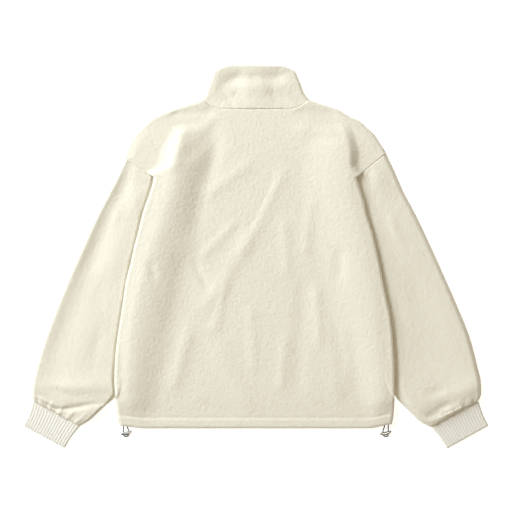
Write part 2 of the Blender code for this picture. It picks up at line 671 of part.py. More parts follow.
def sleeve_top(row, along, width, side):
    """The upper layer's height across one row, as a function of the distance from the outer fold."""
    fold_top = 2 * SLEEVE_EDGE

    def height(distance):
        share = distance / width
        outer_rise = 1.0 - (1.0 - np.clip(distance / OUTER_RUN, 0.0, 1.0)) ** 2
        inner_rise = smoothstep(row.tuck + SLEEVE_EDGE, row.tuck + INNER_RUN, width - distance)
        soft = np.zeros_like(distance)
        for fold in SLEEVE_FOLDS[side]:
            aside = share - fold.across
            near = ((along - fold.along - fold.slant * aside) / fold.reach_along) ** 2
            near = near + (aside / fold.reach_across) ** 2
            soft += fold.height * np.exp(-near)
        gathered = smoothstep(0.84, 0.97, along)
        soft += GATHER_DEPTH * gathered * np.sin(2 * math.pi * GATHERS * share)
        rise = row.crown - fold_top + soft
        return fold_top + np.maximum(rise * outer_rise * inner_rise, 0.0)

    return height


def make_sleeve(name, side, table, group):
    """A sleeve: one flattened tube from the armhole seam to the cuff seam."""
    outer = []
    inner = []
    rows = sleeve_rows(table)
    for index, row in enumerate(rows):
        start = np.array([side * row.outer_x, row.outer_y])
        end = np.array([side * row.inner_x, row.inner_y])
        width = np.hypot(*(end - start))
        across = (end - start) / width
        down = np.array([across[1], -across[0]]) * -side
        shift = down * SEAM if index == 0 else 0.0
        along = index / (SLEEVE_ROWS - 1)
        skins = flat_ring(width, SLEEVE_EDGE, sleeve_top(row, along, width, side), CLOTH,
                          SLEEVE_TOP, SLEEVE_BOTTOM)
        for grid, section in zip((outer, inner), skins):
            plan = start + shift + section[:, :1] * across
            grid.append(np.column_stack([plan, section[:, 1]]))
    mesh = wall_mesh(name, np.array(outer), np.array(inner), ring=True)
    return add_object(name, mesh, group, (FLEECE, 0.95))


CUFF_ROWS = (0.0, 0.5, 1.0)


def make_cuff(name, side, table, group):
    """A rib-knit cuff: a flattened tube whose ribs run along it, over a plain inside."""
    last = table[-1]
    start = Vector((side * last.outer_x, last.outer_y))
    end = Vector((side * last.inner_x, last.inner_y))
    across = (end - start).normalized()
    down = Vector((across.y, -across.x)) * -side
    seam_width = (end - start).length
    count = CUFF_RIBS * POINTS_PER_RIB
    bm = bmesh.new()
    outer_rows = []
    inner_rows = []
    for share in CUFF_ROWS:
        width = seam_width * (1.0 - 0.125 * share) - 0.004 * math.sin(math.pi * share)
        middle = (start + end) / 2 + down * (SEAM + CUFF_LENGTH * share)
        soft_edge = 0.35 * CUFF_RIB if share in (0.0, 1.0) else 0.0
        flat = width - 2 * CUFF_EDGE
        turn = math.pi * CUFF_EDGE
        total = 2 * (flat + turn)

        def point(distance, inset):
            """Place on the section at a distance round it, moved in by inset."""
            distance = distance % total
            radius = CUFF_EDGE - inset
            if distance < flat:
                s, z = distance - flat / 2, CUFF_EDGE + radius
            elif distance < flat + turn:
                angle = (distance - flat) / CUFF_EDGE
                s, z = flat / 2 + radius * math.sin(angle), CUFF_EDGE + radius * math.cos(angle)
            elif distance < 2 * flat + turn:
                s, z = flat / 2 - (distance - flat - turn), CUFF_EDGE - radius
            else:
                angle = (distance - 2 * flat - turn) / CUFF_EDGE
                s, z = -flat / 2 - radius * math.sin(angle), CUFF_EDGE - radius * math.cos(angle)
            plan = middle + across * s
            return (plan.x, plan.y, z)

        ring = []
        for k in range(count):
            valley = k % POINTS_PER_RIB >= POINTS_PER_RIB // 2
            inset = CUFF_RIB if valley else soft_edge
            ring.append(bm.verts.new(point(total * k / count, inset)))
        outer_rows.append(ring)
        depth = CUFF_WALL + 0.4 * CUFF_RIB
        inner_rows.append([bm.verts.new(point(total * k / CUFF_RIBS, depth)) for k in range(CUFF_RIBS)])
    for rows, size, flip in ((outer_rows, count, False), (inner_rows, CUFF_RIBS, True)):
        for low, high in zip(rows[:-1], rows[1:]):
            for j in range(size):
                k = (j + 1) % size
                corners = [low[j], low[k], high[k], high[j]]
                bm.faces.new(corners[::-1] if flip else corners)
    for rib, lining in ((outer_rows[0], inner_rows[0]), (outer_rows[-1], inner_rows[-1])):
        for j in range(CUFF_RIBS):
            k = (j + 1) % CUFF_RIBS
            arc = [rib[(POINTS_PER_RIB * j + n) % count] for n in range(POINTS_PER_RIB + 1)]
            bm.faces.new(arc + [lining[k], lining[j]])
    bmesh.ops.triangulate(bm, faces=[face for face in bm.faces if len(face.verts) > 4])
    bmesh.ops.recalc_face_normals(bm, faces=bm.faces)
    mesh = bpy.data.meshes.new(name)
    bm.to_mesh(mesh)
    bm.free()
    return add_object(name, mesh, group, (RIB_KNIT, 0.9))


# ---------------------------------------------------------------- collar
class CollarRow(NamedTuple):
    """A row of the collar, as its half widths; rise runs 0 to 1 from neck seam to top edge."""
    rise: float
    left: float
    right: float


COLLAR_ROWS = (
    CollarRow(rise=0.00, left=NECK_X, right=NECK_X),
    CollarRow(rise=0.22, left=0.1020, right=0.1000),
    CollarRow(rise=0.45, left=0.0970, right=0.0945),
    CollarRow(rise=0.70, left=0.0915, right=0.0890),
    CollarRow(rise=0.88, left=0.0880, right=0.0845),
    CollarRow(rise=1.00, left=0.0850, right=0.0815),
)
COLLAR_TOP = 0.3935
COLLAR_CORNER = 0.0125   # the top edge rounds down this far at the sides
COLLAR_LOFT = 0.0034
COLLAR_HOLLOW = 0.0019   # the back of the collar sinks this much between seam and top edge
FOLD_TURN = np.radians([-60.0, -30.0, 0.0, 30.0, 60.0])


def collar_bottom(x, is_back):
    """The neck seam's height at each point, on the back layer or the front one."""
    if is_back:
        return NECK_Y + back_neck(x) + SEAM
    return np.interp(np.abs(x), *front_neck_corners()) + 2 * SEAM


def collar_top(x):
    """The top edge's height."""
    return COLLAR_TOP - COLLAR_CORNER * smoothstep(0.045, 0.090, np.abs(x)) ** 1.5 - 0.02 * np.maximum(x, 0)


def collar_places():
    """Columns round the collar at its neck seam, from centre front to centre front.

    Each is its X as a share of NECK_X, its layer (front, fold or back), and its turn in the fold.
    """
    fold_start = NECK_X - SLEEVE_EDGE
    front = [ZIP_HALF_GAP + SEAM, *front_neck_corners()[0][1:-2], fold_start]
    back = [fold_start, 5 * NECK_STEP, 4.5 * NECK_STEP, *(NECK_STEP * np.arange(4, 0, -1))]
    half = [(x, "front", 0.0) for x in front]
    half += [(fold_start + SLEEVE_EDGE * math.cos(turn), "fold", turn) for turn in FOLD_TURN]
    half += [(x, "back", 0.0) for x in back]
    left = [(-x, layer, turn) for x, layer, turn in half]
    return left + [(0.0, "back", 0.0)] + half[::-1]


def make_collar(group):
    """The stand collar: one band folded flat at both sides and open at the centre front."""
    skins = []
    fold_start = NECK_X - SLEEVE_EDGE
    for depth in (0.0, CLOTH):
        grid = []
        radius = SLEEVE_EDGE - depth
        for row in COLLAR_ROWS:
            line = []
            for x, layer, turn in collar_places():
                half_width = row.left if x < 0 else row.right
                low = collar_bottom(x, layer == "back" or turn > 0)
                reach = min(abs(x), fold_start)
                if layer == "back":
                    place = reach * (half_width - SLEEVE_EDGE) / fold_start
                else:
                    narrowing = (half_width - SLEEVE_EDGE - ZIP_HALF_GAP) / (fold_start - ZIP_HALF_GAP)
                    place = ZIP_HALF_GAP + (reach - ZIP_HALF_GAP) * narrowing
                if layer == "front":
                    z = depth
                elif layer == "fold":
                    place += radius * math.cos(turn)
                    z = SLEEVE_EDGE + radius * math.sin(turn)
                else:
                    crown = COLLAR_LOFT * (1.0 - (x / fold_start) ** 2)
                    hollow = COLLAR_HOLLOW * math.sin(math.pi * row.rise) * smoothstep(0.01, 0.05, abs(x))
                    z = 2 * SLEEVE_EDGE + max(crown - hollow, 0.0) - depth
                place = math.copysign(place, x)
                line.append((place, low + (collar_top(place) - low) * row.rise, z))
            grid.append(line)
        skins.append(np.array(grid))
    return add_object("collar", wall_mesh("collar", *skins, ring=False), group, (FLEECE, 0.95))


# ---------------------------------------------------------------- zip
def make_zip(group, guides):
    """Tapes, chain, bottom box and slider of the centre-front zip, and its hinged pull."""
    tape_low = CLOTH + 0.0003
    for name, side in (("zip_tape_left", -1), ("zip_tape_right", 1)):
        inner = CHAIN_WIDTH / 2 + 0.0003
        ends = sorted((side * inner, side * (inner + TAPE_WIDTH)))
        low = (ends[0], ZIP_BOTTOM, tape_low)
        high = (ends[1], ZIP_TOP + SLIDER_LENGTH + 0.004, tape_low + TAPE_THICK)
        add_object(name, box_mesh(name, low, high), group, (TAPE, 0.8))
    half = CHAIN_WIDTH / 2
    box_top = ZIP_BOTTOM + 0.012
    low = (-half, box_top + 0.0003, CHAIN_Z - CHAIN_THICK / 2)
    high = (half, ZIP_TOP - 0.0003, CHAIN_Z + CHAIN_THICK / 2)
    add_object("zip_chain", box_mesh("zip_chain", low, high, 0.0005), group, (TAPE, 0.5))
    low = (-half, ZIP_BOTTOM, CHAIN_Z - 0.0018)
    high = (half, box_top, CHAIN_Z + 0.0014)
    add_object("zip_box", box_mesh("zip_box", low, high, 0.0006), group, (METAL, 0.35, 1.0))
    make_slider(group, guides)


SLIDER_Z = 0.0060        # middle of the slider's body
SLIDER_NARROWING = 0.0014   # its body is this much narrower at each side than its flanges
PULL_HOLE = (0.002, 0.007)  # near and far end of the hole, from the pull's free end
BRIDGE_BAR = 0.0009
BRIDGE_HALF = 0.0040     # half its length along the zip
BRIDGE_DROP = 0.0020     # clear height under the body
HINGE_Z = SLIDER_Z - SLIDER_THICK / 2 - BRIDGE_DROP / 2
HINGE_Y = ZIP_TOP + SLIDER_LENGTH / 2


def make_slider(group, guides):
    """The slider's body with the bridge on its outer face, and the pull that hangs on the bridge."""
    narrow = CHAIN_WIDTH / 2 - 0.0002
    half_width = SLIDER_WIDTH / 2 - SLIDER_NARROWING
    low_z = SLIDER_Z - SLIDER_THICK / 2
    body = box_mesh("slider_body", (-half_width, ZIP_TOP, low_z),
                    (half_width, ZIP_TOP + SLIDER_LENGTH, low_z + SLIDER_THICK), 0.0007)
    for vert in body.vertices:
        if vert.co.y < ZIP_TOP + SLIDER_LENGTH / 2:
            vert.co.x *= narrow / half_width
    slider = add_object("zip_slider", body, group, (METAL, 0.3, 1.0))
    foot_z = low_z - BRIDGE_DROP - BRIDGE_BAR / 2
    root_z = low_z + 0.001
    route = []
    for end in (-1, 1):
        leg = [(end * BRIDGE_HALF, root_z), (end * BRIDGE_HALF, foot_z + 0.0008),
               (end * (BRIDGE_HALF - 0.0003), foot_z + 0.0003), (end * (BRIDGE_HALF - 0.0008), foot_z)]
        route.append([Vector((0.0, HINGE_Y + y, z)) for y, z in leg])
    bar = tube("bridge", route[0] + route[1][::-1], BRIDGE_BAR / 2, 2, guides, (METAL, 0.3, 1.0))
    tool = curve_to_mesh(bar, guides)
    hide(tool)
    join = slider.modifiers.new("bridge", "BOOLEAN")
    join.operation = "UNION"
    join.object = tool
    make_pull(group, guides)


def hide(tool):
    """Mark a cutter: not rendered, drawn as wire."""
    tool.hide_render = True
    tool.display_type = "WIRE"


def make_pull(group, guides):
    """The pull tab, with its origin on the hinge's axis: a plate with a slot round the bridge."""
    slot = BRIDGE_HALF + 0.0009
    half = PULL_WIDTH / 2
    low = (-half, -PULL_LENGTH, -PULL_THICK / 2)
    high = (half, PULL_THICK / 2, PULL_THICK / 2)
    pull = add_object("zip_pull", box_mesh("zip_pull", low, high, 0.0003), group, (METAL, 0.3, 1.0))
    pull.location = (0.0, HINGE_Y, HINGE_Z)
    side = BRIDGE_BAR / 2 + 0.0005
    bar = PULL_THICK / 2
    hole = tuple(end - PULL_LENGTH for end in PULL_HOLE)
    for name, ends in (("pull_slot", (-slot, -bar)), ("pull_hole", hole)):
        cut_low = (-side, ends[0], -0.002)
        cut_high = (side, ends[1], 0.002)
        tool = add_object(name, box_mesh(name, cut_low, cut_high), guides, (METAL, 0.3, 1.0))
        tool.location = pull.location
        hide(tool)
        cut = pull.modifiers.new(name, "BOOLEAN")
        cut.operation = "DIFFERENCE"
        cut.object = tool


# ---------------------------------------------------------------- cords and toggles
def route_points(side):
    """The cord's route on one side, as vectors."""
    points = [Vector((-side * point.x, point.y, point.z)) for point in CORD_ROUTE]
    shift = Vector((RIGHT_CORD_SHIFT, 0.0, 0.0)) if side > 0 else Vector((0.0, 0.0, 0.0))
    return [point + shift for point in points]


def smooth_route(points, step):
    """Points a step apart on a smooth curve through the route's own points."""
    run = [0.0]
    for a, b in zip(points[:-1], points[1:]):
        run.append(run[-1] + (b - a).length)
    dense = np.linspace(0.0, run[-1], 400)
    line = np.stack([smooth_curve(run, [p[axis] for p in points], dense) for axis in range(3)], axis=1)
    lengths = np.concatenate([[0.0], np.cumsum(np.linalg.norm(np.diff(line, axis=0), axis=1))])
    count = max(2, round(lengths[-1] / step)) + 1
    at = np.linspace(0.0, lengths[-1], count)
    return [Vector([float(np.interp(place, lengths, line[:, axis])) for axis in range(3)]) for place in at]


def smooth_curve(knots, values, at):
    """Curve through one coordinate of the knots, whose slope at each follows its neighbours."""
    knots = np.asarray(knots)
    values = np.asarray(values)
    tangent = np.gradient(values, knots)
    place = np.clip(np.searchsorted(knots, at) - 1, 0, len(knots) - 2)
    step = knots[place + 1] - knots[place]
    t = (at - knots[place]) / step
    start = (1 + 2 * t) * (1 - t) ** 2 * values[place] + t * (1 - t) ** 2 * step * tangent[place]
    end = t * t * (3 - 2 * t) * values[place + 1] - t * t * (1 - t) * step * tangent[place + 1]
    return start + end


def tube(name, points, radius, resolution, group, finish):
    """A round tube with filled caps, as a poly curve."""
    curve = bpy.data.curves.new(name, "CURVE")
    curve.dimensions = "3D"
    curve.bevel_depth = radius
    curve.bevel_resolution = resolution
    curve.use_fill_caps = True
    spline = curve.splines.new("POLY")
    spline.points.add(len(points) - 1)
    for knot, point in zip(spline.points, points):
        knot.co = (*point, 1.0)
    item = bpy.data.objects.new(name, curve)
    group.objects.link(item)
    curve.materials.append(material(name, *finish))
    return item


def curve_to_mesh(item, group):
    """Turn a tube into a closed mesh object with welded caps."""
    graph = bpy.context.evaluated_depsgraph_get()
    mesh = bpy.data.meshes.new_from_object(item.evaluated_get(graph))
    bm = bmesh.new()
    bm.from_mesh(mesh)
    bmesh.ops.remove_doubles(bm, verts=bm.verts, dist=1e-6)
    bm.to_mesh(mesh)
    bm.free()
    made = bpy.data.objects.new(item.name + "_mesh", mesh)
    group.objects.link(made)
    made.matrix_world = item.matrix_world
    bpy.data.objects.remove(item, do_unlink=True)
    return made


TOGGLE_STATIONS = 13


def toggle_mesh(name):
    """A boat-shaped toggle along X: its belly hangs towards -Y and its tips curve up.

    Each station is an eight-sided section; the tips are small blunt ends.
    """
    bm = bmesh.new()
    rings = []
    for station in range(TOGGLE_STATIONS):
        share = -1.0 + 2.0 * station / (TOGGLE_STATIONS - 1)
        full = math.sqrt(max(1.0 - share * share, 0.0))
        deep = 0.0009 + 0.0029 * full
        tall = 0.0012 + (TOGGLE_THICK / 2 - 0.0012) * full ** 0.7
        middle = 0.0022 * share * share - 0.0004
        ring = []
        for k in range(8):
            angle = 2 * math.pi * (k + 0.5) / 8
            y = middle + deep * math.cos(angle) * 1.08
            z = max(-tall, min(tall, tall * 1.08 * math.sin(angle)))
            ring.append(bm.verts.new((TOGGLE_HALF * share, y, z)))
        rings.append(ring)
    for low, high in zip(rings[:-1], rings[1:]):
        for j in range(8):
            k = (j + 1) % 8
            bm.faces.new([low[j], low[k], high[k], high[j]])
    bm.faces.new(rings[0][::-1])
    bm.faces.new(rings[-1])
    bmesh.ops.recalc_face_normals(bm, faces=bm.faces)
    mesh = bpy.data.meshes.new(name)
    bm.to_mesh(mesh)
    bm.free()
    return mesh


def make_cord_and_toggle(side, group, guides):
    """The elastic loop that leaves the hem tunnel, and the metal toggle that it runs through."""
    word = "left" if side < 0 else "right"
    points = smooth_route(route_points(side), CORD_STEP)
    tube(f"cord_{word}", points, CORD_DIAMETER / 2, 2, group, (ELASTIC, 0.8))
    toggle = add_object(f"toggle_{word}", toggle_mesh(f"toggle_{word}"), group, (METAL, 0.25, 1.0))
    shift = RIGHT_CORD_SHIFT if side > 0 else 0.0
    toggle.location = (-side * TOGGLE_CENTRE[0] + shift, TOGGLE_CENTRE[1], TOGGLE_CENTRE[2])
    toggle.rotation_euler = (0.0, 0.0, TOGGLE_TILT)
    bore = tube(f"bore_{word}", points, TOGGLE_BORE / 2, 2, guides, (ELASTIC, 0.8))
    tool = curve_to_mesh(bore, guides)
    hide(tool)
    cut = toggle.modifiers.new("bore", "BOOLEAN")
    cut.operation = "DIFFERENCE"
    cut.object = tool


# ---------------------------------------------------------------- the jacket
def main():
    """Build every piece."""
    clear_scene()
    jacket = new_collection("fleece jacket")
    guides = new_collection("cutters")
    make_back(jacket)
    make_front("front_left", -1, jacket)
    make_front("front_right", 1, jacket)
    for word, side, table in (("left", -1, LEFT_SLEEVE), ("right", 1, RIGHT_SLEEVE)):
        make_sleeve(f"sleeve_{word}", side, table, jacket)
        make_cuff(f"cuff_{word}", side, table, jacket)
        make_cord_and_toggle(side, jacket, guides)
    make_collar(jacket)
    make_zip(jacket, guides)


main()
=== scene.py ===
"""Looks of a cream pile-fleece jacket that lies flat on its front, with its back up.

Frame, in metres: the ground is z = 0, +Y points to the collar, +X to the sleeve at the right. Each
cloth piece is a thin closed wall near its solid's form, mostly within 3 millimetres of it: a fine
outer face with folds and pile, and a plain lining.
"""

import itertools
import logging
import math
from dataclasses import dataclass, field
from enum import Enum
from typing import Callable, NamedTuple, Sequence

import bmesh
import bpy
import numpy as np
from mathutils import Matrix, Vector


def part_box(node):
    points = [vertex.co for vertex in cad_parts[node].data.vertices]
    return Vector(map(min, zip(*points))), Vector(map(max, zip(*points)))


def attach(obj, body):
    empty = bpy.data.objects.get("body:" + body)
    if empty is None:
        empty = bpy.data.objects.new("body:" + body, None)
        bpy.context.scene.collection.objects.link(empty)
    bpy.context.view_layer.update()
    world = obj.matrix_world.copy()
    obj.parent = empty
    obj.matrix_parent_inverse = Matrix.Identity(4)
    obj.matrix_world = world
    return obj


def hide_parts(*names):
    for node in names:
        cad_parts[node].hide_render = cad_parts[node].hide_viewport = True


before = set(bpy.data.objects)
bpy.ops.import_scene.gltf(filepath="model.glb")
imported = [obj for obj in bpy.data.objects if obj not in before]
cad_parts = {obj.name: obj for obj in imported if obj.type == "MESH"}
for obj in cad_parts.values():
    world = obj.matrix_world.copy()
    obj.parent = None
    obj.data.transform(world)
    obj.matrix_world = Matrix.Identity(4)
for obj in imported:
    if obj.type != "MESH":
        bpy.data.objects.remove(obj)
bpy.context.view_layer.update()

LOG = logging.getLogger("fleece_jacket")

JACKET = "jacket"        # the body that every piece made here rides on
Places = float | np.ndarray

# ---------------------------------------------------------------- sizes, the same as the solids'
CLOTH = 0.005
SEAM = 0.0004            # between two pieces at a seam
LAYER_GAP = 0.0006       # between two layers that lie on each other
LOFT = 0.0028            # of the back off the fronts
CAP_RUN = 0.030          # above the armhole the raised sides turn into folds over this height
HEM_Y = -0.346
NECK_Y = 0.303           # middle of the back neck seam
ARMHOLE_Y = 0.162        # where the armhole seam goes under the body's side
ARMHOLE_X = 0.206
NECK_RISE = 0.0195       # of the neck points above the middle of the neck seam
SHOULDER_END = 0.170     # half width at the neck seam's level
NECK_STEP = 0.128 / 7    # one of the seven equal steps across the back's neck
NECK_X = 6 * NECK_STEP   # neck points, at the ends of the collar
NECK_CORNERS = 5
FRONT_NECK_DROP = NECK_RISE / math.sin(math.radians(90 / NECK_CORNERS))
ZIP_HALF_GAP = 0.006
SIDE_LIFT = 0.0122       # the body's sides rise this far, over the sleeves
LIFT_RUN = 0.018         # width of the fronts' slope up to it
HEM_BAND = 0.021         # the stitched tunnel along the hem
SLEEVE_EDGE = 0.0054     # radius of a sleeve's folded edges
CUFF_LENGTH = 0.0545
CUFF_WALL = 0.0024
CUFF_EDGE = 0.0038       # radius of a cuff's folded edges
CUFF_RIBS = 36
GATHERS = 6              # soft pleats across each sleeve's end at the cuff
CHAIN_Z = 0.0057
CORD_DIAMETER = 0.0023
TOGGLE_HALF = 0.0122
TOGGLE_THICK = 0.0058
TOGGLE_TILT = math.radians(12.5)
TOGGLE_BORE = 0.0031
TOGGLE_CENTRE = (-0.2660, -0.3625, 0.0034)
RIGHT_CORD_SHIFT = 0.0015


class Side(Enum):
    """The two sides of the jacket as it lies, with the sign of X there."""

    LEFT = -1
    RIGHT = 1

    @property
    def word(self) -> str:
        """The side's name in the nodes' names."""
        return self.name.lower()


# ---------------------------------------------------------------- sizes of the looks alone
SIDE_PUFF = {Side.LEFT: 0.0040, Side.RIGHT: 0.0012}         # more height on the raised sides' crests
CAP_SHARE = {Side.LEFT: 0.26, Side.RIGHT: 0.10}             # of their lift, kept past the armhole
SLEEVE_INNER_RUN = {Side.LEFT: 0.005, Side.RIGHT: 0.018}    # from a sleeve's tuck up to its crown
CAP_EDGE = 0.024         # the kept share closes over this width at the edge
HEM_PUFF = 0.0007        # the hem tunnel stands out this much
HEM_GROOVE = 0.0006      # and sinks this much at its stitches
GROOVE_WIDTH = 0.12 * HEM_BAND
GROOVE_ENDS = (0.002, 0.014)         # the groove fades in over these distances from the side edge
NECK_BEND_Y = 0.275      # above it the rows bend to the neck seam
HEM_BENDS = 4            # the rows bend to the hem's curve over this many bands
HEM_SAG = 0.0045         # of the hem's middle below its corners
HEM_SAG_ENDS = (0.225, 0.275)        # it ends between these distances from the centre line
HEM_CORNER_RISE = 0.0035             # of the right corner above the left one
HEM_CORNER_REACH = (0.24, 0.28)
SLEEVE_UNDER_TOP = (0.158, 0.182)    # between these heights the sleeve under a side ends, at the top
SLEEVE_UNDER_LOW = (-0.318, -0.291)  # and at the bottom
TROUGH_OFF_MIDDLE = (0.018, 0.045)   # troughs deepen over these distances from the centre line
TROUGH_OFF_EDGE = (0.006, 0.035)     # and from the side edge
LEAST_LOFT = 0.0002
PILE_FREE = (0.0005, 0.0060)         # heights between which pressed pile comes to stand out freely
LINING_GAP = 0.0012      # least wall of the body between pile and lining
LINING_DEPTH = CLOTH - 0.001         # of the lining of sleeves and collar
CUFF_RIB = 0.0005
GATHER_DEPTH = 0.0009
COLLAR_HOLLOW = 0.0032   # the collar's back sinks this much between seam and top edge
NOISE_ROWS = 256
BAND_SCALE = 0.31        # scale of a wave texture whose bands lie a metre apart


# ---------------------------------------------------------------- tables of the outline and forms
class SideRow(NamedTuple):
    """The body's side edges at one height, as distances from the centre line."""

    y: float
    left: float
    right: float


SIDES = (
    SideRow(y=-0.346, left=0.2760, right=0.2785),
    SideRow(y=-0.334, left=0.2815, right=0.2815),
    SideRow(y=-0.303, left=0.2840, right=0.2835),
    SideRow(y=-0.252, left=0.2875, right=0.2840),
    SideRow(y=-0.211, left=0.2860, right=0.2830),
    SideRow(y=-0.170, left=0.2820, right=0.2805),
    SideRow(y=-0.129, left=0.2757, right=0.2760),
    SideRow(y=-0.088, left=0.2696, right=0.2680),
    SideRow(y=-0.047, left=0.2634, right=0.2595),
    SideRow(y=-0.016, left=0.2552, right=0.2535),
    SideRow(y=0.014, left=0.2490, right=0.2470),
    SideRow(y=0.051, left=0.2390, right=0.2380),
    SideRow(y=0.086, left=0.2306, right=0.2270),
    SideRow(y=0.117, left=0.2204, right=0.2195),
    SideRow(y=0.148, left=0.2100, right=0.2100),
    SideRow(y=ARMHOLE_Y, left=ARMHOLE_X, right=ARMHOLE_X),
)


class ShoulderRow(NamedTuple):
    """A point of a shoulder line, from the armhole seam's outer end to the neck."""

    x: float
    y: float


SHOULDERS = {
    Side.LEFT: (
        ShoulderRow(x=0.2700, y=0.203),
        ShoulderRow(x=0.2655, y=0.219),
        ShoulderRow(x=0.2530, y=0.242),
        ShoulderRow(x=0.2370, y=0.262),
        ShoulderRow(x=0.2160, y=0.281),
        ShoulderRow(x=0.1960, y=0.293),
        ShoulderRow(x=SHOULDER_END, y=NECK_Y),
    ),
    Side.RIGHT: (
        ShoulderRow(x=0.2675, y=0.213),
        ShoulderRow(x=0.2634, y=0.221),
        ShoulderRow(x=0.2530, y=0.237),
        ShoulderRow(x=0.2430, y=0.252),
        ShoulderRow(x=0.2310, y=0.263),
        ShoulderRow(x=0.2120, y=0.279),
        ShoulderRow(x=0.1900, y=0.290),
        ShoulderRow(x=SHOULDER_END, y=NECK_Y),
    ),
}


class SleeveRow(NamedTuple):
    """A section across a sleeve, from its outer fold to its inner one."""

    outer_x: float
    outer_y: float
    inner_x: float
    inner_y: float
    crown: float
    tuck: float

    def folds(self, side: Side) -> np.ndarray:
        """Places in plan of the outer fold and the inner one, on a side of the jacket."""
        return np.array([[side.value * self.outer_x, self.outer_y],
                         [side.value * self.inner_x, self.inner_y]])


SLEEVES = {
    Side.LEFT: (
        SleeveRow(outer_x=0.2700, outer_y=0.203, inner_x=0.2050, inner_y=0.1610, crown=0.0164, tuck=0.006),
        SleeveRow(outer_x=0.2940, outer_y=0.154, inner_x=0.2060, inner_y=0.1110, crown=0.0166, tuck=0.018),
        SleeveRow(outer_x=0.3130, outer_y=0.119, inner_x=0.2120, inner_y=0.0680, crown=0.0166, tuck=0.026),
        SleeveRow(outer_x=0.3290, outer_y=0.088, inner_x=0.2180, inner_y=0.0310, crown=0.0167, tuck=0.028),
        SleeveRow(outer_x=0.3600, outer_y=0.020, inner_x=0.2330, inner_y=-0.0370, crown=0.0168, tuck=0.029),
        SleeveRow(outer_x=0.3900, outer_y=-0.047, inner_x=0.2450, inner_y=-0.1050, crown=0.0168, tuck=0.029),
        SleeveRow(outer_x=0.4190, outer_y=-0.119, inner_x=0.2570, inner_y=-0.1760, crown=0.0168, tuck=0.028),
        SleeveRow(outer_x=0.4420, outer_y=-0.184, inner_x=0.2700, inner_y=-0.2440, crown=0.0170, tuck=0.022),
        SleeveRow(outer_x=0.4560, outer_y=-0.232, inner_x=0.2865, inner_y=-0.2850, crown=0.0186, tuck=0.004),
        SleeveRow(outer_x=0.4620, outer_y=-0.262, inner_x=0.3110, inner_y=-0.3080, crown=0.0194, tuck=0.000),
        SleeveRow(outer_x=0.4620, outer_y=-0.281, inner_x=0.3390, inner_y=-0.3340, crown=0.0176, tuck=0.000),
        SleeveRow(outer_x=0.4580, outer_y=-0.295, inner_x=0.3600, inner_y=-0.3475, crown=0.0126, tuck=0.000),
    ),
    Side.RIGHT: (
        SleeveRow(outer_x=0.2675, outer_y=0.213, inner_x=0.2050, inner_y=0.1610, crown=0.0150, tuck=0.006),
        SleeveRow(outer_x=0.2860, outer_y=0.174, inner_x=0.2060, inner_y=0.1090, crown=0.0152, tuck=0.016),
        SleeveRow(outer_x=0.3040, outer_y=0.133, inner_x=0.2120, inner_y=0.0630, crown=0.0152, tuck=0.024),
        SleeveRow(outer_x=0.3250, outer_y=0.094, inner_x=0.2170, inner_y=0.0270, crown=0.0152, tuck=0.027),
        SleeveRow(outer_x=0.3560, outer_y=0.029, inner_x=0.2310, inner_y=-0.0410, crown=0.0152, tuck=0.028),
        SleeveRow(outer_x=0.3860, outer_y=-0.037, inner_x=0.2430, inner_y=-0.1050, crown=0.0152, tuck=0.029),
        SleeveRow(outer_x=0.4150, outer_y=-0.103, inner_x=0.2550, inner_y=-0.1760, crown=0.0152, tuck=0.028),
        SleeveRow(outer_x=0.4400, outer_y=-0.166, inner_x=0.2665, inner_y=-0.2440, crown=0.0158, tuck=0.022),
        SleeveRow(outer_x=0.4560, outer_y=-0.226, inner_x=0.2865, inner_y=-0.2850, crown=0.0174, tuck=0.004),
        SleeveRow(outer_x=0.4630, outer_y=-0.258, inner_x=0.3085, inner_y=-0.3095, crown=0.0184, tuck=0.000),
        SleeveRow(outer_x=0.4635, outer_y=-0.279, inner_x=0.3390, inner_y=-0.3390, crown=0.0172, tuck=0.000),
        SleeveRow(outer_x=0.4585, outer_y=-0.295, inner_x=0.3600, inner_y=-0.3495, crown=0.0126, tuck=0.000),
    ),
}


class FlankRow(NamedTuple):
    """A raised side of the back at one height, as distances from the centre line: the foot of the
    slope up to its crest, the crest, and where it has closed again."""

    y: float
    foot: float
    crest: float
    close: float


FLANKS = {
    Side.LEFT: (
        FlankRow(y=-0.346, foot=0.200, crest=0.258, close=0.2760),
        FlankRow(y=-0.300, foot=0.192, crest=0.258, close=0.2840),
        FlankRow(y=-0.210, foot=0.168, crest=0.254, close=0.2860),
        FlankRow(y=-0.120, foot=0.138, crest=0.244, close=0.2745),
        FlankRow(y=-0.060, foot=0.124, crest=0.232, close=0.2650),
        FlankRow(y=0.022, foot=0.110, crest=0.208, close=0.2470),
        FlankRow(y=0.107, foot=0.098, crest=0.180, close=0.2235),
        FlankRow(y=ARMHOLE_Y, foot=0.088, crest=0.166, close=ARMHOLE_X),
        FlankRow(y=0.211, foot=0.078, crest=0.157, close=0.2000),
        FlankRow(y=0.245, foot=0.086, crest=0.152, close=0.1820),
        FlankRow(y=0.275, foot=0.100, crest=0.150, close=0.1720),
    ),
    Side.RIGHT: (
        FlankRow(y=-0.346, foot=0.215, crest=0.262, close=0.2785),
        FlankRow(y=-0.300, foot=0.210, crest=0.262, close=0.2835),
        FlankRow(y=-0.210, foot=0.180, crest=0.256, close=0.2830),
        FlankRow(y=-0.088, foot=0.140, crest=0.243, close=0.2680),
        FlankRow(y=0.030, foot=0.112, crest=0.220, close=0.2430),
        FlankRow(y=0.107, foot=0.095, crest=0.200, close=0.2225),
        FlankRow(y=ARMHOLE_Y, foot=0.085, crest=0.190, close=ARMHOLE_X),
        FlankRow(y=0.211, foot=0.085, crest=0.190, close=0.2140),
        FlankRow(y=0.245, foot=0.105, crest=0.183, close=0.2070),
        FlankRow(y=0.275, foot=0.115, crest=0.175, close=0.1950),
    ),
}


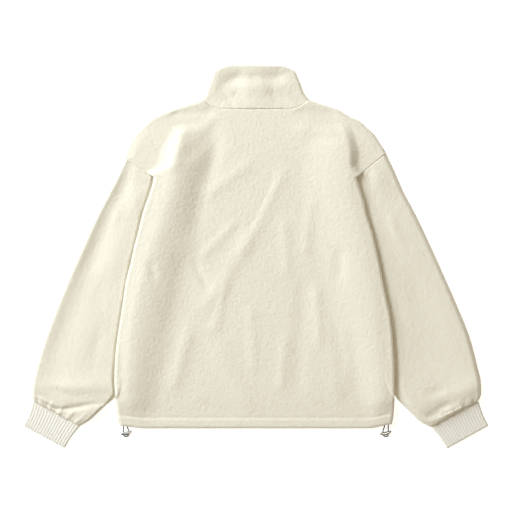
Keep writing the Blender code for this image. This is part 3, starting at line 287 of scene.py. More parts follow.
class LoftRow(NamedTuple):
    """The back at one height: how far its middle stands off the fronts, and the lift's share at its
    raised sides."""

    y: float
    middle: float
    share: float


LOFTS = (
    LoftRow(y=-0.346, middle=0.0028, share=0.00),
    LoftRow(y=-0.325, middle=0.0030, share=0.15),
    LoftRow(y=-0.290, middle=0.0042, share=0.70),
    LoftRow(y=-0.245, middle=0.0047, share=0.88),
    LoftRow(y=-0.120, middle=0.0050, share=0.98),
    LoftRow(y=0.000, middle=0.0050, share=1.00),
    LoftRow(y=0.180, middle=0.0050, share=1.00),
    LoftRow(y=0.220, middle=0.0047, share=0.86),
    LoftRow(y=0.250, middle=0.0042, share=0.50),
    LoftRow(y=0.280, middle=0.0034, share=0.00),
    LoftRow(y=0.303, middle=0.0028, share=0.00),
)


class Fold(NamedTuple):
    """A soft ridge, or a trough where height is negative, along a straight line on a panel."""

    x0: float
    y0: float
    x1: float
    y1: float
    width: float
    height: float


BACK_FOLDS = (
    Fold(x0=-0.082, y0=0.232, x1=-0.092, y1=0.188, width=0.018, height=-0.0022),
    Fold(x0=-0.158, y0=0.294, x1=-0.098, y1=0.297, width=0.011, height=-0.0026),
    Fold(x0=0.102, y0=0.298, x1=0.158, y1=0.294, width=0.011, height=-0.0026),
    Fold(x0=-0.112, y0=0.145, x1=-0.126, y1=0.070, width=0.016, height=-0.0012),
    Fold(x0=-0.150, y0=-0.020, x1=-0.172, y1=-0.120, width=0.020, height=-0.0014),
    Fold(x0=-0.022, y0=0.184, x1=-0.085, y1=0.135, width=0.013, height=0.0013),
    Fold(x0=0.050, y0=0.158, x1=-0.020, y1=0.025, width=0.016, height=0.0015),
    Fold(x0=-0.022, y0=0.020, x1=-0.095, y1=-0.090, width=0.017, height=0.0017),
    Fold(x0=0.110, y0=0.246, x1=0.155, y1=0.228, width=0.022, height=0.0016),
    Fold(x0=0.173, y0=-0.002, x1=0.172, y1=-0.030, width=0.013, height=-0.0018),
    Fold(x0=0.098, y0=-0.070, x1=0.088, y1=-0.250, width=0.016, height=-0.0014),
    Fold(x0=-0.070, y0=-0.200, x1=-0.020, y1=-0.290, width=0.020, height=0.0014),
    Fold(x0=-0.150, y0=-0.170, x1=-0.180, y1=-0.260, width=0.024, height=0.0014),
    Fold(x0=0.150, y0=-0.150, x1=0.165, y1=-0.260, width=0.020, height=0.0012),
)
BACK_CREASES = (
    Fold(x0=-0.110, y0=0.280, x1=-0.150, y1=0.268, width=0.010, height=-0.0012),
    Fold(x0=-0.085, y0=0.262, x1=-0.128, y1=0.215, width=0.012, height=-0.0012),
    Fold(x0=-0.150, y0=0.246, x1=-0.168, y1=0.190, width=0.013, height=0.0022),
    Fold(x0=0.125, y0=0.286, x1=0.160, y1=0.270, width=0.010, height=-0.0012),
    Fold(x0=0.100, y0=0.262, x1=0.150, y1=0.258, width=0.012, height=0.0014),
    Fold(x0=0.028, y0=0.150, x1=-0.008, y1=0.070, width=0.010, height=-0.0012),
    Fold(x0=-0.052, y0=0.060, x1=-0.100, y1=0.010, width=0.010, height=0.0012),
    Fold(x0=-0.062, y0=-0.062, x1=-0.082, y1=-0.140, width=0.010, height=0.0013),
    Fold(x0=-0.120, y0=-0.020, x1=-0.100, y1=-0.060, width=0.009, height=-0.0014),
    Fold(x0=-0.212, y0=-0.020, x1=-0.208, y1=-0.034, width=0.009, height=-0.0016),
    Fold(x0=0.060, y0=0.060, x1=0.064, y1=-0.020, width=0.011, height=0.0011),
    Fold(x0=0.112, y0=0.100, x1=0.104, y1=0.020, width=0.012, height=0.0012),
    Fold(x0=0.126, y0=-0.080, x1=0.130, y1=-0.170, width=0.011, height=0.0013),
    Fold(x0=0.060, y0=-0.180, x1=0.052, y1=-0.260, width=0.011, height=0.0011),
    Fold(x0=0.180, y0=-0.160, x1=0.192, y1=-0.230, width=0.012, height=0.0013),
    Fold(x0=-0.010, y0=-0.120, x1=-0.004, y1=-0.220, width=0.012, height=0.0010),
    Fold(x0=-0.140, y0=-0.170, x1=-0.160, y1=-0.250, width=0.013, height=0.0013),
    Fold(x0=-0.100, y0=-0.300, x1=-0.060, y1=-0.322, width=0.008, height=-0.0010),
    Fold(x0=0.190, y0=-0.290, x1=0.230, y1=-0.318, width=0.009, height=-0.0011),
)
FRONT_CREASES = (
    Fold(x0=0.060, y0=0.190, x1=0.120, y1=0.060, width=0.016, height=0.0016),
    Fold(x0=0.150, y0=0.120, x1=0.110, y1=-0.060, width=0.018, height=0.0018),
    Fold(x0=0.070, y0=-0.080, x1=0.085, y1=-0.240, width=0.015, height=0.0015),
    Fold(x0=0.190, y0=-0.110, x1=0.170, y1=-0.270, width=0.017, height=0.0016),
)


class SleeveFold(NamedTuple):
    """A soft ridge or trough on a sleeve: along runs 0 to 1 from armhole to cuff, across from outer
    to inner fold, the reaches are half lengths in those shares, and slant is how far along it moves
    from the outer fold to the inner one."""

    along: float
    across: float
    reach_along: float
    reach_across: float
    height: float
    slant: float = 0.0


SLEEVE_FOLDS = {
    Side.LEFT: (
        SleeveFold(along=0.34, across=0.26, reach_along=0.36, reach_across=0.15, height=-0.0034),
        SleeveFold(along=0.34, across=0.07, reach_along=0.38, reach_across=0.06, height=0.0014),
        SleeveFold(along=0.10, across=0.28, reach_along=0.060, reach_across=0.14, height=-0.0016),
        SleeveFold(along=0.12, across=0.62, reach_along=0.085, reach_across=0.13, height=0.0016),
        SleeveFold(along=0.36, across=0.21, reach_along=0.065, reach_across=0.12, height=-0.0012),
        SleeveFold(along=0.34, across=0.58, reach_along=0.080, reach_across=0.13, height=0.0010),
        SleeveFold(along=0.46, across=0.50, reach_along=0.045, reach_across=0.12, height=-0.0016),
        SleeveFold(along=0.60, across=0.17, reach_along=0.090, reach_across=0.12, height=-0.0012),
        SleeveFold(along=0.74, across=0.56, reach_along=0.046, reach_across=0.42, height=0.0034, slant=-0.16),
        SleeveFold(along=0.88, across=0.66, reach_along=0.026, reach_across=0.24, height=-0.0040,
                   slant=-0.30),
    ),
    Side.RIGHT: (
        SleeveFold(along=0.40, across=0.22, reach_along=0.40, reach_across=0.46, height=-0.0026),
        SleeveFold(along=0.10, across=0.70, reach_along=0.080, reach_across=0.20, height=-0.0018),
        SleeveFold(along=0.08, across=0.30, reach_along=0.060, reach_across=0.16, height=0.0014),
        SleeveFold(along=0.33, across=0.24, reach_along=0.120, reach_across=0.20, height=0.0012),
        SleeveFold(along=0.47, across=0.42, reach_along=0.060, reach_across=0.14, height=-0.0012),
        SleeveFold(along=0.62, across=0.55, reach_along=0.100, reach_across=0.20, height=-0.0014),
        SleeveFold(along=0.60, across=0.14, reach_along=0.120, reach_across=0.14, height=0.0014),
        SleeveFold(along=0.82, across=0.18, reach_along=0.070, reach_across=0.26, height=0.0030, slant=0.05),
        SleeveFold(along=0.86, across=0.54, reach_along=0.030, reach_across=0.12, height=-0.0012),
        SleeveFold(along=0.90, across=0.78, reach_along=0.030, reach_across=0.14, height=-0.0030),
    ),
}
SLEEVE_CREASES = {
    Side.LEFT: (
        SleeveFold(along=0.05, across=0.60, reach_along=0.030, reach_across=0.16, height=-0.0014),
        SleeveFold(along=0.24, across=0.34, reach_along=0.050, reach_across=0.07, height=0.0014),
        SleeveFold(along=0.58, across=0.62, reach_along=0.050, reach_across=0.07, height=-0.0013),
        SleeveFold(along=0.80, across=0.34, reach_along=0.030, reach_across=0.18, height=-0.0018),
        SleeveFold(along=0.905, across=0.30, reach_along=0.014, reach_across=0.22, height=0.0016),
        SleeveFold(along=0.945, across=0.38, reach_along=0.012, reach_across=0.16, height=-0.0022),
    ),
    Side.RIGHT: (
        SleeveFold(along=0.06, across=0.45, reach_along=0.040, reach_across=0.14, height=0.0016),
        SleeveFold(along=0.28, across=0.40, reach_along=0.060, reach_across=0.08, height=0.0014),
        SleeveFold(along=0.50, across=0.70, reach_along=0.060, reach_across=0.08, height=-0.0013),
        SleeveFold(along=0.78, across=0.56, reach_along=0.030, reach_across=0.12, height=-0.0020),
        SleeveFold(along=0.88, across=0.58, reach_along=0.020, reach_across=0.14, height=-0.0024),
        SleeveFold(along=0.955, across=0.52, reach_along=0.014, reach_across=0.20, height=0.0018),
    ),
}


class CollarRow(NamedTuple):
    """A row of the collar, as its half widths; rise runs 0 to 1 from neck seam to top edge."""

    rise: float
    left: float
    right: float


COLLAR_ROWS = (
    CollarRow(rise=0.00, left=NECK_X, right=NECK_X),
    CollarRow(rise=0.22, left=0.1020, right=0.1000),
    CollarRow(rise=0.45, left=0.0970, right=0.0945),
    CollarRow(rise=0.70, left=0.0915, right=0.0890),
    CollarRow(rise=0.88, left=0.0880, right=0.0845),
    CollarRow(rise=1.00, left=0.0850, right=0.0815),
)
COLLAR_TOP = 0.3935
COLLAR_CORNER = 0.0125
COLLAR_LOFT = 0.0034
COLLAR_CREASES = (
    Fold(x0=-0.060, y0=0.335, x1=-0.048, y1=0.310, width=0.006, height=-0.0008),
    Fold(x0=-0.042, y0=0.332, x1=-0.020, y1=0.322, width=0.006, height=-0.0007),
    Fold(x0=0.036, y0=0.332, x1=0.056, y1=0.322, width=0.006, height=-0.0007),
    Fold(x0=-0.066, y0=0.349, x1=-0.040, y1=0.368, width=0.010, height=-0.0014),
    Fold(x0=-0.048, y0=0.366, x1=0.044, y1=0.369, width=0.012, height=-0.0030),
    Fold(x0=-0.020, y0=0.348, x1=0.060, y1=0.352, width=0.013, height=0.0010),
    Fold(x0=-0.084, y0=0.345, x1=-0.078, y1=0.372, width=0.006, height=0.0008),
)


class CordPoint(NamedTuple):
    """A point of the left cord's route; the right one is its mirror image, then moved."""

    x: float
    y: float
    z: float


CORD_ROUTE = (
    CordPoint(x=-0.2636, y=-0.3410, z=0.0076),
    CordPoint(x=-0.2632, y=-0.3480, z=0.0074),
    CordPoint(x=-0.2618, y=-0.3535, z=0.0058),
    CordPoint(x=-0.2606, y=-0.3585, z=0.0037),
    CordPoint(x=-0.2603, y=-0.3630, z=0.0034),
    CordPoint(x=-0.2622, y=-0.3675, z=0.0034),
    CordPoint(x=-0.2662, y=-0.3692, z=0.0034),
    CordPoint(x=-0.2702, y=-0.3680, z=0.0034),
    CordPoint(x=-0.2716, y=-0.3640, z=0.0034),
    CordPoint(x=-0.2713, y=-0.3595, z=0.0037),
    CordPoint(x=-0.2712, y=-0.3540, z=0.0057),
    CordPoint(x=-0.2712, y=-0.3480, z=0.0074),
    CordPoint(x=-0.2712, y=-0.3410, z=0.0076),
)


# ---------------------------------------------------------------- curves and noise
def smoothstep(low: Places, high: Places, value: Places) -> Places:
    """Smooth step.

    Args:
        low: where the step starts; it may be the larger one.
        high: where it ends.
        value: place or array of places.

    Returns:
        0 before low, 1 past high, smooth between.
    """
    share = np.clip((value - low) / (high - low), 0.0, 1.0)
    return share * share * (3.0 - 2.0 * share)


def hermite(t: np.ndarray, step: np.ndarray, values: np.ndarray, slopes: np.ndarray,
            place: np.ndarray) -> np.ndarray:
    """Smooth curve from row to row of a table.

    Args:
        t: share of the way from one row to the next, 0 to 1.
        step: length of that way.
        values: the value at each row.
        slopes: the slope at each row.
        place: number of the row before.

    Returns:
        The curve's values.
    """
    start = (1 + 2 * t) * (1 - t) ** 2 * values[place] + t * (1 - t) ** 2 * step * slopes[place]
    end = t * t * (3 - 2 * t) * values[place + 1] - t * t * (1 - t) * step * slopes[place + 1]
    return start + end


def through(knots: Sequence[float], values: Sequence[float], at: Places) -> np.ndarray:
    """Smooth curve through a table that never overshoots it.

    Args:
        knots: places of the table's rows, rising.
        values: the value at each.
        at: places to read.

    Returns:
        The curve's values there.
    """
    knots = np.asarray(knots, float)
    values = np.asarray(values, float)
    at = np.asarray(at, float)
    steps = np.diff(knots)
    slopes = np.diff(values) / steps
    tangent = np.zeros_like(values)
    same_way = slopes[:-1] * slopes[1:] > 0
    total = np.where(same_way, slopes[:-1] + slopes[1:], 1.0)
    tangent[1:-1] = np.where(same_way, 2.0 * slopes[:-1] * slopes[1:] / total, 0.0)
    tangent[0] = slopes[0]
    tangent[-1] = slopes[-1]
    place = np.clip(np.searchsorted(knots, at) - 1, 0, len(steps) - 1)
    step = steps[place]
    t = np.clip((at - knots[place]) / step, 0.0, 1.0)
    return hermite(t, step, values, tangent, place)


def read(rows: Sequence[NamedTuple], key: str, column: str, at: Places) -> np.ndarray:
    """One column of a table at places of its key column."""
    return through([getattr(row, key) for row in rows], [getattr(row, column) for row in rows], at)


def run_along(points: np.ndarray) -> np.ndarray:
    """Length along a line up to each of its points."""
    return np.concatenate([[0.0], np.cumsum(np.linalg.norm(np.diff(points, axis=0), axis=1))])


def scatter(shuffle: np.ndarray, cell: np.ndarray) -> np.ndarray:
    """Row of a shuffled table for each cell of a lattice."""
    row = shuffle[cell[..., 0] % NOISE_ROWS]
    row = shuffle[(row + cell[..., 1]) % NOISE_ROWS]
    return shuffle[(row + cell[..., 2]) % NOISE_ROWS]


@dataclass(frozen=True)
class GradientNoise:
    """Soft seeded noise between about -1 and 1."""

    size: float
    seed: int

    def at(self, points: np.ndarray) -> np.ndarray:
        """Read the noise.

        Args:
            points: array whose last axis is x, y, z in metres.

        Returns:
            One value a point.
        """
        draw = np.random.default_rng(self.seed)
        shuffle = draw.permutation(NOISE_ROWS)
        slopes = draw.normal(size=(NOISE_ROWS, 3))
        slopes /= np.linalg.norm(slopes, axis=1, keepdims=True)
        scaled = points / self.size
        cell = np.floor(scaled).astype(int)
        part = scaled - cell
        fade = part ** 3 * (part * (part * 6.0 - 15.0) + 10.0)
        total = np.zeros(points.shape[:-1])
        for corner in itertools.product((0, 1), repeat=3):
            row = scatter(shuffle, cell + corner)
            weight = np.prod(np.where(corner, fade, 1.0 - fade), axis=-1)
            total += weight * np.sum(slopes[row] * (part - corner), axis=-1)
        return 1.6 * total


@dataclass(frozen=True)
class Pebbles:
    """Rounded bumps side by side, 1 on top of each and 0 in the gaps between."""

    size: float
    seed: int

    def at(self, points: np.ndarray) -> np.ndarray:
        """Read the bumps.

        Args:
            points: array whose last axis is x, y, z in metres.

        Returns:
            One value from 0 to 1 a point.
        """
        draw = np.random.default_rng(self.seed)
        shuffle = draw.permutation(NOISE_ROWS)
        places = draw.random(size=(NOISE_ROWS, 3))
        scaled = points / self.size
        cell = np.floor(scaled).astype(int)
        nearest = np.full(points.shape[:-1], 9.0)
        for near in itertools.product((-1, 0, 1), repeat=3):
            key = cell + near
            away = key + places[scatter(shuffle, key)] - scaled
            nearest = np.minimum(nearest, np.sum(away * away, axis=-1))
        return np.clip(1.0 - nearest / 0.72, 0.0, 1.0)


def distance_to(points: np.ndarray, line: np.ndarray) -> np.ndarray:
    """Distance in plan to a line of points.

    Args:
        points: array whose last axis is x, y.
        line: the line's points, one a row.

    Returns:
        The distance of each point to the nearest place of the line.
    """
    flat = points.reshape(-1, 2)
    start = line[:-1]
    run = np.diff(line, axis=0)
    length = np.sum(run * run, axis=1)
    nearest = np.empty(len(flat))
    for first in range(0, len(flat), 8192):
        away = flat[first:first + 8192, None, :] - start[None]
        share = np.clip(np.sum(away * run[None], axis=2) / length[None], 0.0, 1.0)
        off = away - share[..., None] * run[None]
        nearest[first:first + 8192] = np.sqrt(np.min(np.sum(off * off, axis=2), axis=1))
    return nearest.reshape(points.shape[:-1])


def edge_drop(distance: np.ndarray, radius: float) -> np.ndarray:
    """How far a rounded edge falls: radius at the edge, 0 from radius inwards."""
    share = np.clip(1.0 - distance / radius, 0.0, 1.0)
    return radius * (1.0 - np.sqrt(1.0 - share * share))


def fold_height(x: np.ndarray, y: np.ndarray, folds: Sequence[Fold]) -> np.ndarray:
    """Sum of straight folds at each point of a panel."""
    height = np.zeros_like(x)
    for fold in folds:
        run = np.array([fold.x1 - fold.x0, fold.y1 - fold.y0])
        length = np.hypot(*run)
        along = ((x - fold.x0) * run[0] + (y - fold.y0) * run[1]) / length
        off = ((x - fold.x0) * run[1] - (y - fold.y0) * run[0]) / length
        past = np.maximum(np.maximum(-along, along - length), 0.0)
        height += fold.height * np.exp(-(off / fold.width) ** 2 - (past / (1.5 * fold.width)) ** 2)
    return height


# ---------------------------------------------------------------- the body's plan
class BodyPlan:
    """The body's outline, the solids' own, and the layers of its visible cloth."""

    @staticmethod
    def side_edge(y: Places, side: Side) -> np.ndarray:
        """Distance of the body's edge from the centre line at height y."""
        seam_end = SHOULDERS[side][0]
        low = read(SIDES, "y", side.word, np.minimum(y, ARMHOLE_Y))
        seam = ARMHOLE_X + (seam_end.x - ARMHOLE_X) * (y - ARMHOLE_Y) / (seam_end.y - ARMHOLE_Y)
        high = read(SHOULDERS[side], "y", "x", np.maximum(y, seam_end.y))
        return np.where(y <= ARMHOLE_Y, low, np.where(y <= seam_end.y, seam, high))

    @staticmethod
    def sleeve_edge(y: Places, side: Side) -> np.ndarray:
        """Distance of a sleeve's hidden inner edge from the centre line."""
        return read(SLEEVES[side][::-1], "inner_y", "inner_x", y)

    @staticmethod
    def back_neck(x: Places) -> Places:
        """Rise of the back's top edge to the neck points."""
        reach = [4 * NECK_STEP, 5 * NECK_STEP, NECK_X, SHOULDER_END]
        return NECK_RISE * np.interp(np.abs(x), reach, [0.0, 0.30, 1.0, 0.0])

    @staticmethod
    def front_neck_corners() -> tuple[np.ndarray, np.ndarray]:
        """Distances and heights of the front neck seam's corners, from centre front to neck point."""
        turn = np.radians(np.linspace(90.0, 0.0, NECK_CORNERS + 1))
        reach = ZIP_HALF_GAP + (NECK_X - ZIP_HALF_GAP) * np.cos(turn)
        return reach, NECK_Y + NECK_RISE - FRONT_NECK_DROP * np.sin(turn)

    @classmethod
    def front_shoulder(cls, x: Places) -> Places:
        """Rise of a front's top edge from its last row to the neck point."""
        start = cls.front_neck_corners()[0][-2] + SEAM
        return NECK_RISE * np.interp(np.abs(x), [start, NECK_X, SHOULDER_END], [0.0, 1.0, 0.0])

    @staticmethod
    def place_rows(x: np.ndarray, y_row: np.ndarray, top_edge: Callable) -> np.ndarray:
        """Height of a point: its row's, bent to the top edge and, at the bottom, to the hem."""
        near_neck = smoothstep(NECK_BEND_Y, NECK_Y, y_row)
        near_hem = 1.0 - smoothstep(HEM_Y + HEM_BAND, HEM_Y + HEM_BENDS * HEM_BAND, y_row)
        sag = -HEM_SAG * (1.0 - smoothstep(*HEM_SAG_ENDS, np.abs(x)))
        sag = sag + HEM_CORNER_RISE * smoothstep(*HEM_CORNER_REACH, x)
        return y_row + near_neck * top_edge(x) + near_hem * sag

    @classmethod
    def side_lift(cls, x: np.ndarray, y: np.ndarray) -> np.ndarray:
        """How far the sleeve under a side lifts the fronts there."""
        lift = np.zeros_like(x)
        over = (1.0 - smoothstep(*SLEEVE_UNDER_TOP, y)) * smoothstep(*SLEEVE_UNDER_LOW, y)
        for side in Side:
            edge = cls.sleeve_edge(np.minimum(y, ARMHOLE_Y), side)
            lift += smoothstep(edge - LIFT_RUN, edge, side.value * x)
        return SIDE_LIFT * lift * over

    @classmethod
    def back_lift(cls, x: np.ndarray, y: np.ndarray) -> np.ndarray:
        """How far the back rises over the sleeves, with the folds that run on past the armholes."""
        share = read(LOFTS, "y", "share", y)
        middle = read(LOFTS, "y", "middle", y) - LOFT
        onto = smoothstep(ARMHOLE_Y, ARMHOLE_Y + CAP_RUN, y)
        lift = np.zeros_like(x)
        inside = np.ones_like(x)
        for side in Side:
            foot, crest, close = (read(FLANKS[side], "y", part, y) for part in ("foot", "crest", "close"))
            away = side.value * x
            rise = smoothstep(foot, crest, away)
            start = ARMHOLE_X + (crest - ARMHOLE_X) * onto
            end = ARMHOLE_X + CAP_RUN + (close - ARMHOLE_X - CAP_RUN) * onto
            past = np.where(y > ARMHOLE_Y, smoothstep(start, end, away), 0.0)
            cap = CAP_SHARE[side] * smoothstep(0.0, CAP_EDGE, cls.side_edge(y, side) - away)
            past = past * (1.0 - np.where(y > SHOULDERS[side][0].y, cap, CAP_SHARE[side]))
            puff = SIDE_PUFF[side] * (1.0 - smoothstep(crest, close, away))
            lift += share * rise * (SIDE_LIFT * (1.0 - past) + puff)
            inside -= rise
        return np.maximum(lift, cls.side_lift(x, y)) + middle * inside

    @classmethod
    def off_edge(cls, x: np.ndarray, y_row: np.ndarray) -> np.ndarray:
        """Distance across to the nearer side edge."""
        return np.minimum(cls.side_edge(y_row, Side.LEFT) + x, cls.side_edge(y_row, Side.RIGHT) - x)

    @classmethod
    def back_loft(cls, x: np.ndarray, y: np.ndarray, y_row: np.ndarray,
                  folds: Sequence[Fold]) -> np.ndarray:
        """How far the back stands off the fronts, with its folds and its hem tunnel.

        Args:
            x: places across.
            y: heights on the page, bent to the edges.
            y_row: the same before they are bent.
            folds: the ridges and troughs that count.

        Returns:
            The loft at each point.
        """
        into_band = HEM_Y + HEM_BAND - y_row
        band = HEM_PUFF * smoothstep(0.0, 0.25 * HEM_BAND, into_band)
        off_edge = cls.off_edge(x, y_row)
        groove = HEM_GROOVE * np.exp(-(into_band / GROOVE_WIDTH) ** 2)
        groove = groove * smoothstep(*GROOVE_ENDS, off_edge)
        height = fold_height(x, y, folds)
        room = smoothstep(*TROUGH_OFF_MIDDLE, np.abs(x)) * smoothstep(*TROUGH_OFF_EDGE, off_edge)
        height = np.where(height < 0, height * room, height)
        return np.maximum(LOFT + height, LEAST_LOFT) + band - groove

    @classmethod
    def outline(cls, part: str, side: Side, top_edge: Callable) -> np.ndarray:
        """A stretch of the outline in plan.

        Args:
            part: "side", "armhole", "shoulder" or "hem".
            side: which side of the body.
            top_edge: rise of the panel's top edge.

        Returns:
            Points of the stretch, one a row.
        """
        seam_end = SHOULDERS[side][0]
        if part == "hem":
            x = np.linspace(-cls.side_edge(HEM_Y, Side.LEFT), cls.side_edge(HEM_Y, Side.RIGHT), 50)
            return np.column_stack([x, cls.place_rows(x, np.full_like(x, HEM_Y), top_edge)])
        spans = {"side": (HEM_Y, ARMHOLE_Y, 60), "armhole": (ARMHOLE_Y, seam_end.y, 6),
                 "shoulder": (seam_end.y, NECK_Y, 20)}
        low, high, count = spans[part]
        y = np.linspace(low, high, count)
        x = side.value * cls.side_edge(y, side)
        y = cls.place_rows(x, y, top_edge)
        if part == "shoulder":
            top = side.value * np.linspace(SHOULDER_END, NECK_X, 12)[1:]
            x = np.concatenate([x, top])
            y = np.concatenate([y, NECK_Y + top_edge(top)])
        return np.column_stack([x, y])


# ---------------------------------------------------------------- shader trees
class Value:
    """A socket of a shader tree that takes part in sums and products."""

    def __init__(self, tree: "ShaderTree", socket: bpy.types.NodeSocket) -> None:
        """Wrap a socket of a tree."""
        self.tree = tree
        self.socket = socket

    def _math(self, operation: str, *terms: "Value | float") -> "Value":
        """Add one Math node.

        Args:
            operation: the node's operation.
            *terms: values or numbers for its sockets, in order.

        Returns:
            Its result.
        """
        return self.tree.node("ShaderNodeMath", {"operation": operation}, dict(enumerate(terms)))

    def __add__(self, other: "Value | float") -> "Value":
        """self + other."""
        return self._math("ADD", self, other)

    def __rsub__(self, other: float) -> "Value":
        """other - self."""
        return self._math("SUBTRACT", other, self)

    def __mul__(self, other: "Value | float") -> "Value":
        """self * other."""
        return self._math("MULTIPLY", self, other)

    def power(self, exponent: float) -> "Value":
        """self raised to a number."""
        return self._math("POWER", self, exponent)

    def sine(self) -> "Value":
        """Sine of self."""
        return self._math("SINE", self)

    def absolute(self) -> "Value":
        """self without its sign."""
        return self._math("ABSOLUTE", self)

    def clamp(self) -> "Value":
        """self kept between 0 and 1."""
        return self._math("MINIMUM", self._math("MAXIMUM", self, 0.0), 1.0)


class ShaderTree:
    """A material with a Principled shader, built node by node."""

    def __init__(self, name: str) -> None:
        """Start an empty material of that name."""
        self.material = bpy.data.materials.new(name)
        self.material.use_nodes = True
        self.nodes = self.material.node_tree.nodes
        self.links = self.material.node_tree.links
        self.shader = self.nodes["Principled BSDF"]

    def node(self, kind: str, settings: dict | None = None, inputs: dict | None = None,
             output: str | int = 0) -> Value:
        """Add a node.

        Args:
            kind: the node's type.
            settings: its own settings.
            inputs: values or links of its sockets, by name or number.
            output: which output is returned, by name or number.

        Returns:
            That output.
        """
        made = self.nodes.new(kind)
        for name, value in (settings or {}).items():
            setattr(made, name, value)
        for name, value in (inputs or {}).items():
            self._feed(made.inputs[name], value)
        return Value(self, made.outputs[output])

    def _feed(self, socket: bpy.types.NodeSocket, value: "Value | float | tuple") -> None:
        """Link a value to a socket, or set the socket's own number or colour."""
        if isinstance(value, Value):
            self.links.new(value.socket, socket)
        elif isinstance(value, tuple) and len(value) == 3 and len(socket.default_value) == 4:
            socket.default_value = (*value, 1.0)
        else:
            socket.default_value = value

    def place(self) -> Value:
        """Object coordinates, in metres."""
        return self.node("ShaderNodeTexCoord", output="Object")

    def stretched(self, place: Value, scale: tuple[float, float, float]) -> Value:
        """Coordinates multiplied by a scale on each axis."""
        return self.node("ShaderNodeVectorMath", {"operation": "MULTIPLY"}, {0: place, 1: scale})

    def noise(self, place: Value, size: float, detail: float = 2.0, rough: float = 0.5) -> Value:
        """Noise from 0 to 1 with patches of a size in metres."""
        inputs = {"Vector": place, "Scale": 1.0 / size, "Detail": detail, "Roughness": rough}
        return self.node("ShaderNodeTexNoise", {}, inputs, "Fac")

    def cells(self, place: Value, size: float) -> Value:
        """Distance to the nearest of scattered points, in units of their spacing."""
        return self.node("ShaderNodeTexVoronoi", {}, {"Vector": place, "Scale": 1.0 / size}, "Distance")

    def wave(self, place: Value, scale: float, distortion: float) -> Value:
        """Slanting bands from 0 to 1."""
        return self.node("ShaderNodeTexWave", {"wave_type": "BANDS", "bands_direction": "DIAGONAL"},
                         {"Vector": place, "Scale": scale, "Distortion": distortion}, "Fac")

    def attribute(self, name: str) -> Value:
        """A number stored on the piece's points."""
        return self.node("ShaderNodeAttribute", {"attribute_name": name}, output="Fac")

    def mix(self, factor: Value | float, first: Value | tuple, second: Value | tuple) -> Value:
        """Mix two colours."""
        made = self.nodes.new("ShaderNodeMix")
        made.data_type = "RGBA"
        self._feed(made.inputs[0], factor)
        self._feed(made.inputs[6], first)
        self._feed(made.inputs[7], second)
        return Value(self, made.outputs[2])

    def bump(self, height: Value, strength: float, depth: float) -> Value:
        """A bump from a height; depth is the height's unit in metres."""
        inputs = {"Strength": strength, "Distance": depth, "Height": height}
        return self.node("ShaderNodeBump", {}, inputs, "Normal")

    def surface(self, **sockets) -> bpy.types.Material:
        """Feed the Principled shader and finish the material.

        Args:
            **sockets: values by socket name, with _ for a space.

        Returns:
            The material.
        """
        for name, value in sockets.items():
            self._feed(self.shader.inputs[name.replace("_", " ")], value)
        return self.material


# ---------------------------------------------------------------- finishes
@dataclass(frozen=True)
class PileFleece:
    """Cream curly pile with a soft sheen and painted shade: lighter on the curls, darker and warmer between
    them.
    """

    curl: tuple[float, float, float] = (0.900, 0.866, 0.748)
    # painted shade: the colour of the gaps between the curls
    gap: tuple[float, float, float] = (0.800, 0.735, 0.590)
    cool: tuple[float, float, float] = (0.880, 0.856, 0.760)

    def material(self) -> bpy.types.Material:
        """Build the finish."""
        tree = ShaderTree("pile_fleece")
        place = tree.place()
        nap = tree.attribute("nap")
        patches = tree.noise(place, 0.060, 3.0, 0.55)
        curls = tree.cells(place, 0.0042)
        fibre = tree.noise(place, 0.0014, 3.0, 0.7)
        cream = tree.mix(patches * 0.55, self.curl, self.cool)
        # painted shade: depth darkens the colour towards the gap shade colour where the pile is low, away
        # from the curl cells' centres and on low fibres
        depth = ((1.0 - nap) * 0.55 + curls * 0.35 + (1.0 - fibre) * 0.30).clamp()
        colour = tree.mix(depth * 0.75, cream, self.gap)
        height = (1.0 - curls) * 0.6 + fibre * 0.5
        normal = tree.bump(height, 0.40, 0.0012)
        return tree.surface(
            Base_Color=colour, Roughness=0.95, Specular_IOR_Level=0.12, Normal=normal,
            Sheen_Weight=0.35, Sheen_Roughness=0.55, Sheen_Tint=(1.0, 0.97, 0.90),
        )


@dataclass(frozen=True)
class RibKnit:
    """Ribbed cuff knit: columns of small V stitches, cooler than the pile, with painted shade in the grooves
    between the ribs and between the stitch legs.
    """

    raised: tuple[float, float, float] = (0.945, 0.920, 0.845)
    # painted shade: the colour of the rib grooves and the gaps between stitches
    sunk: tuple[float, float, float] = (0.860, 0.820, 0.730)
    stitch_width: float = 0.0013
    stitch_height: float = 0.0017

    def material(self) -> bpy.types.Material:
        """Build the finish."""
        tree = ShaderTree("rib_knit")
        knit = tree.node("ShaderNodeUVMap", {"uv_map": "knit"}, output="UV")
        split = tree.nodes.new("ShaderNodeSeparateXYZ")
        tree.links.new(knit.socket, split.inputs[0])
        around = Value(tree, split.outputs[0])
        down = Value(tree, split.outputs[1])
        leg = (around * (math.pi / self.stitch_width)).sine().absolute()
        slant = down * (2 * math.pi / self.stitch_height) + leg * 2.2
        loop = slant.sine() * 0.5 + 0.5
        stitch = leg.power(0.6) * (loop * 0.55 + 0.45)
        rib = tree.attribute("nap")
        fuzz = tree.noise(tree.place(), 0.0011, 3.0, 0.7)
        # painted shade: depth darkens the knit in the rib grooves and between the stitch legs; the fuzz part
        # is random tone
        depth = ((1.0 - rib) * 0.26 + (1.0 - stitch) * 0.22 + fuzz * 0.18).clamp()
        colour = tree.mix(depth, self.raised, self.sunk)
        normal = tree.bump(stitch + fuzz * 0.35, 0.6, 0.0005)
        return tree.surface(
            Base_Color=colour, Roughness=0.92, Specular_IOR_Level=0.15, Normal=normal,
            Sheen_Weight=0.15, Sheen_Roughness=0.5,
        )


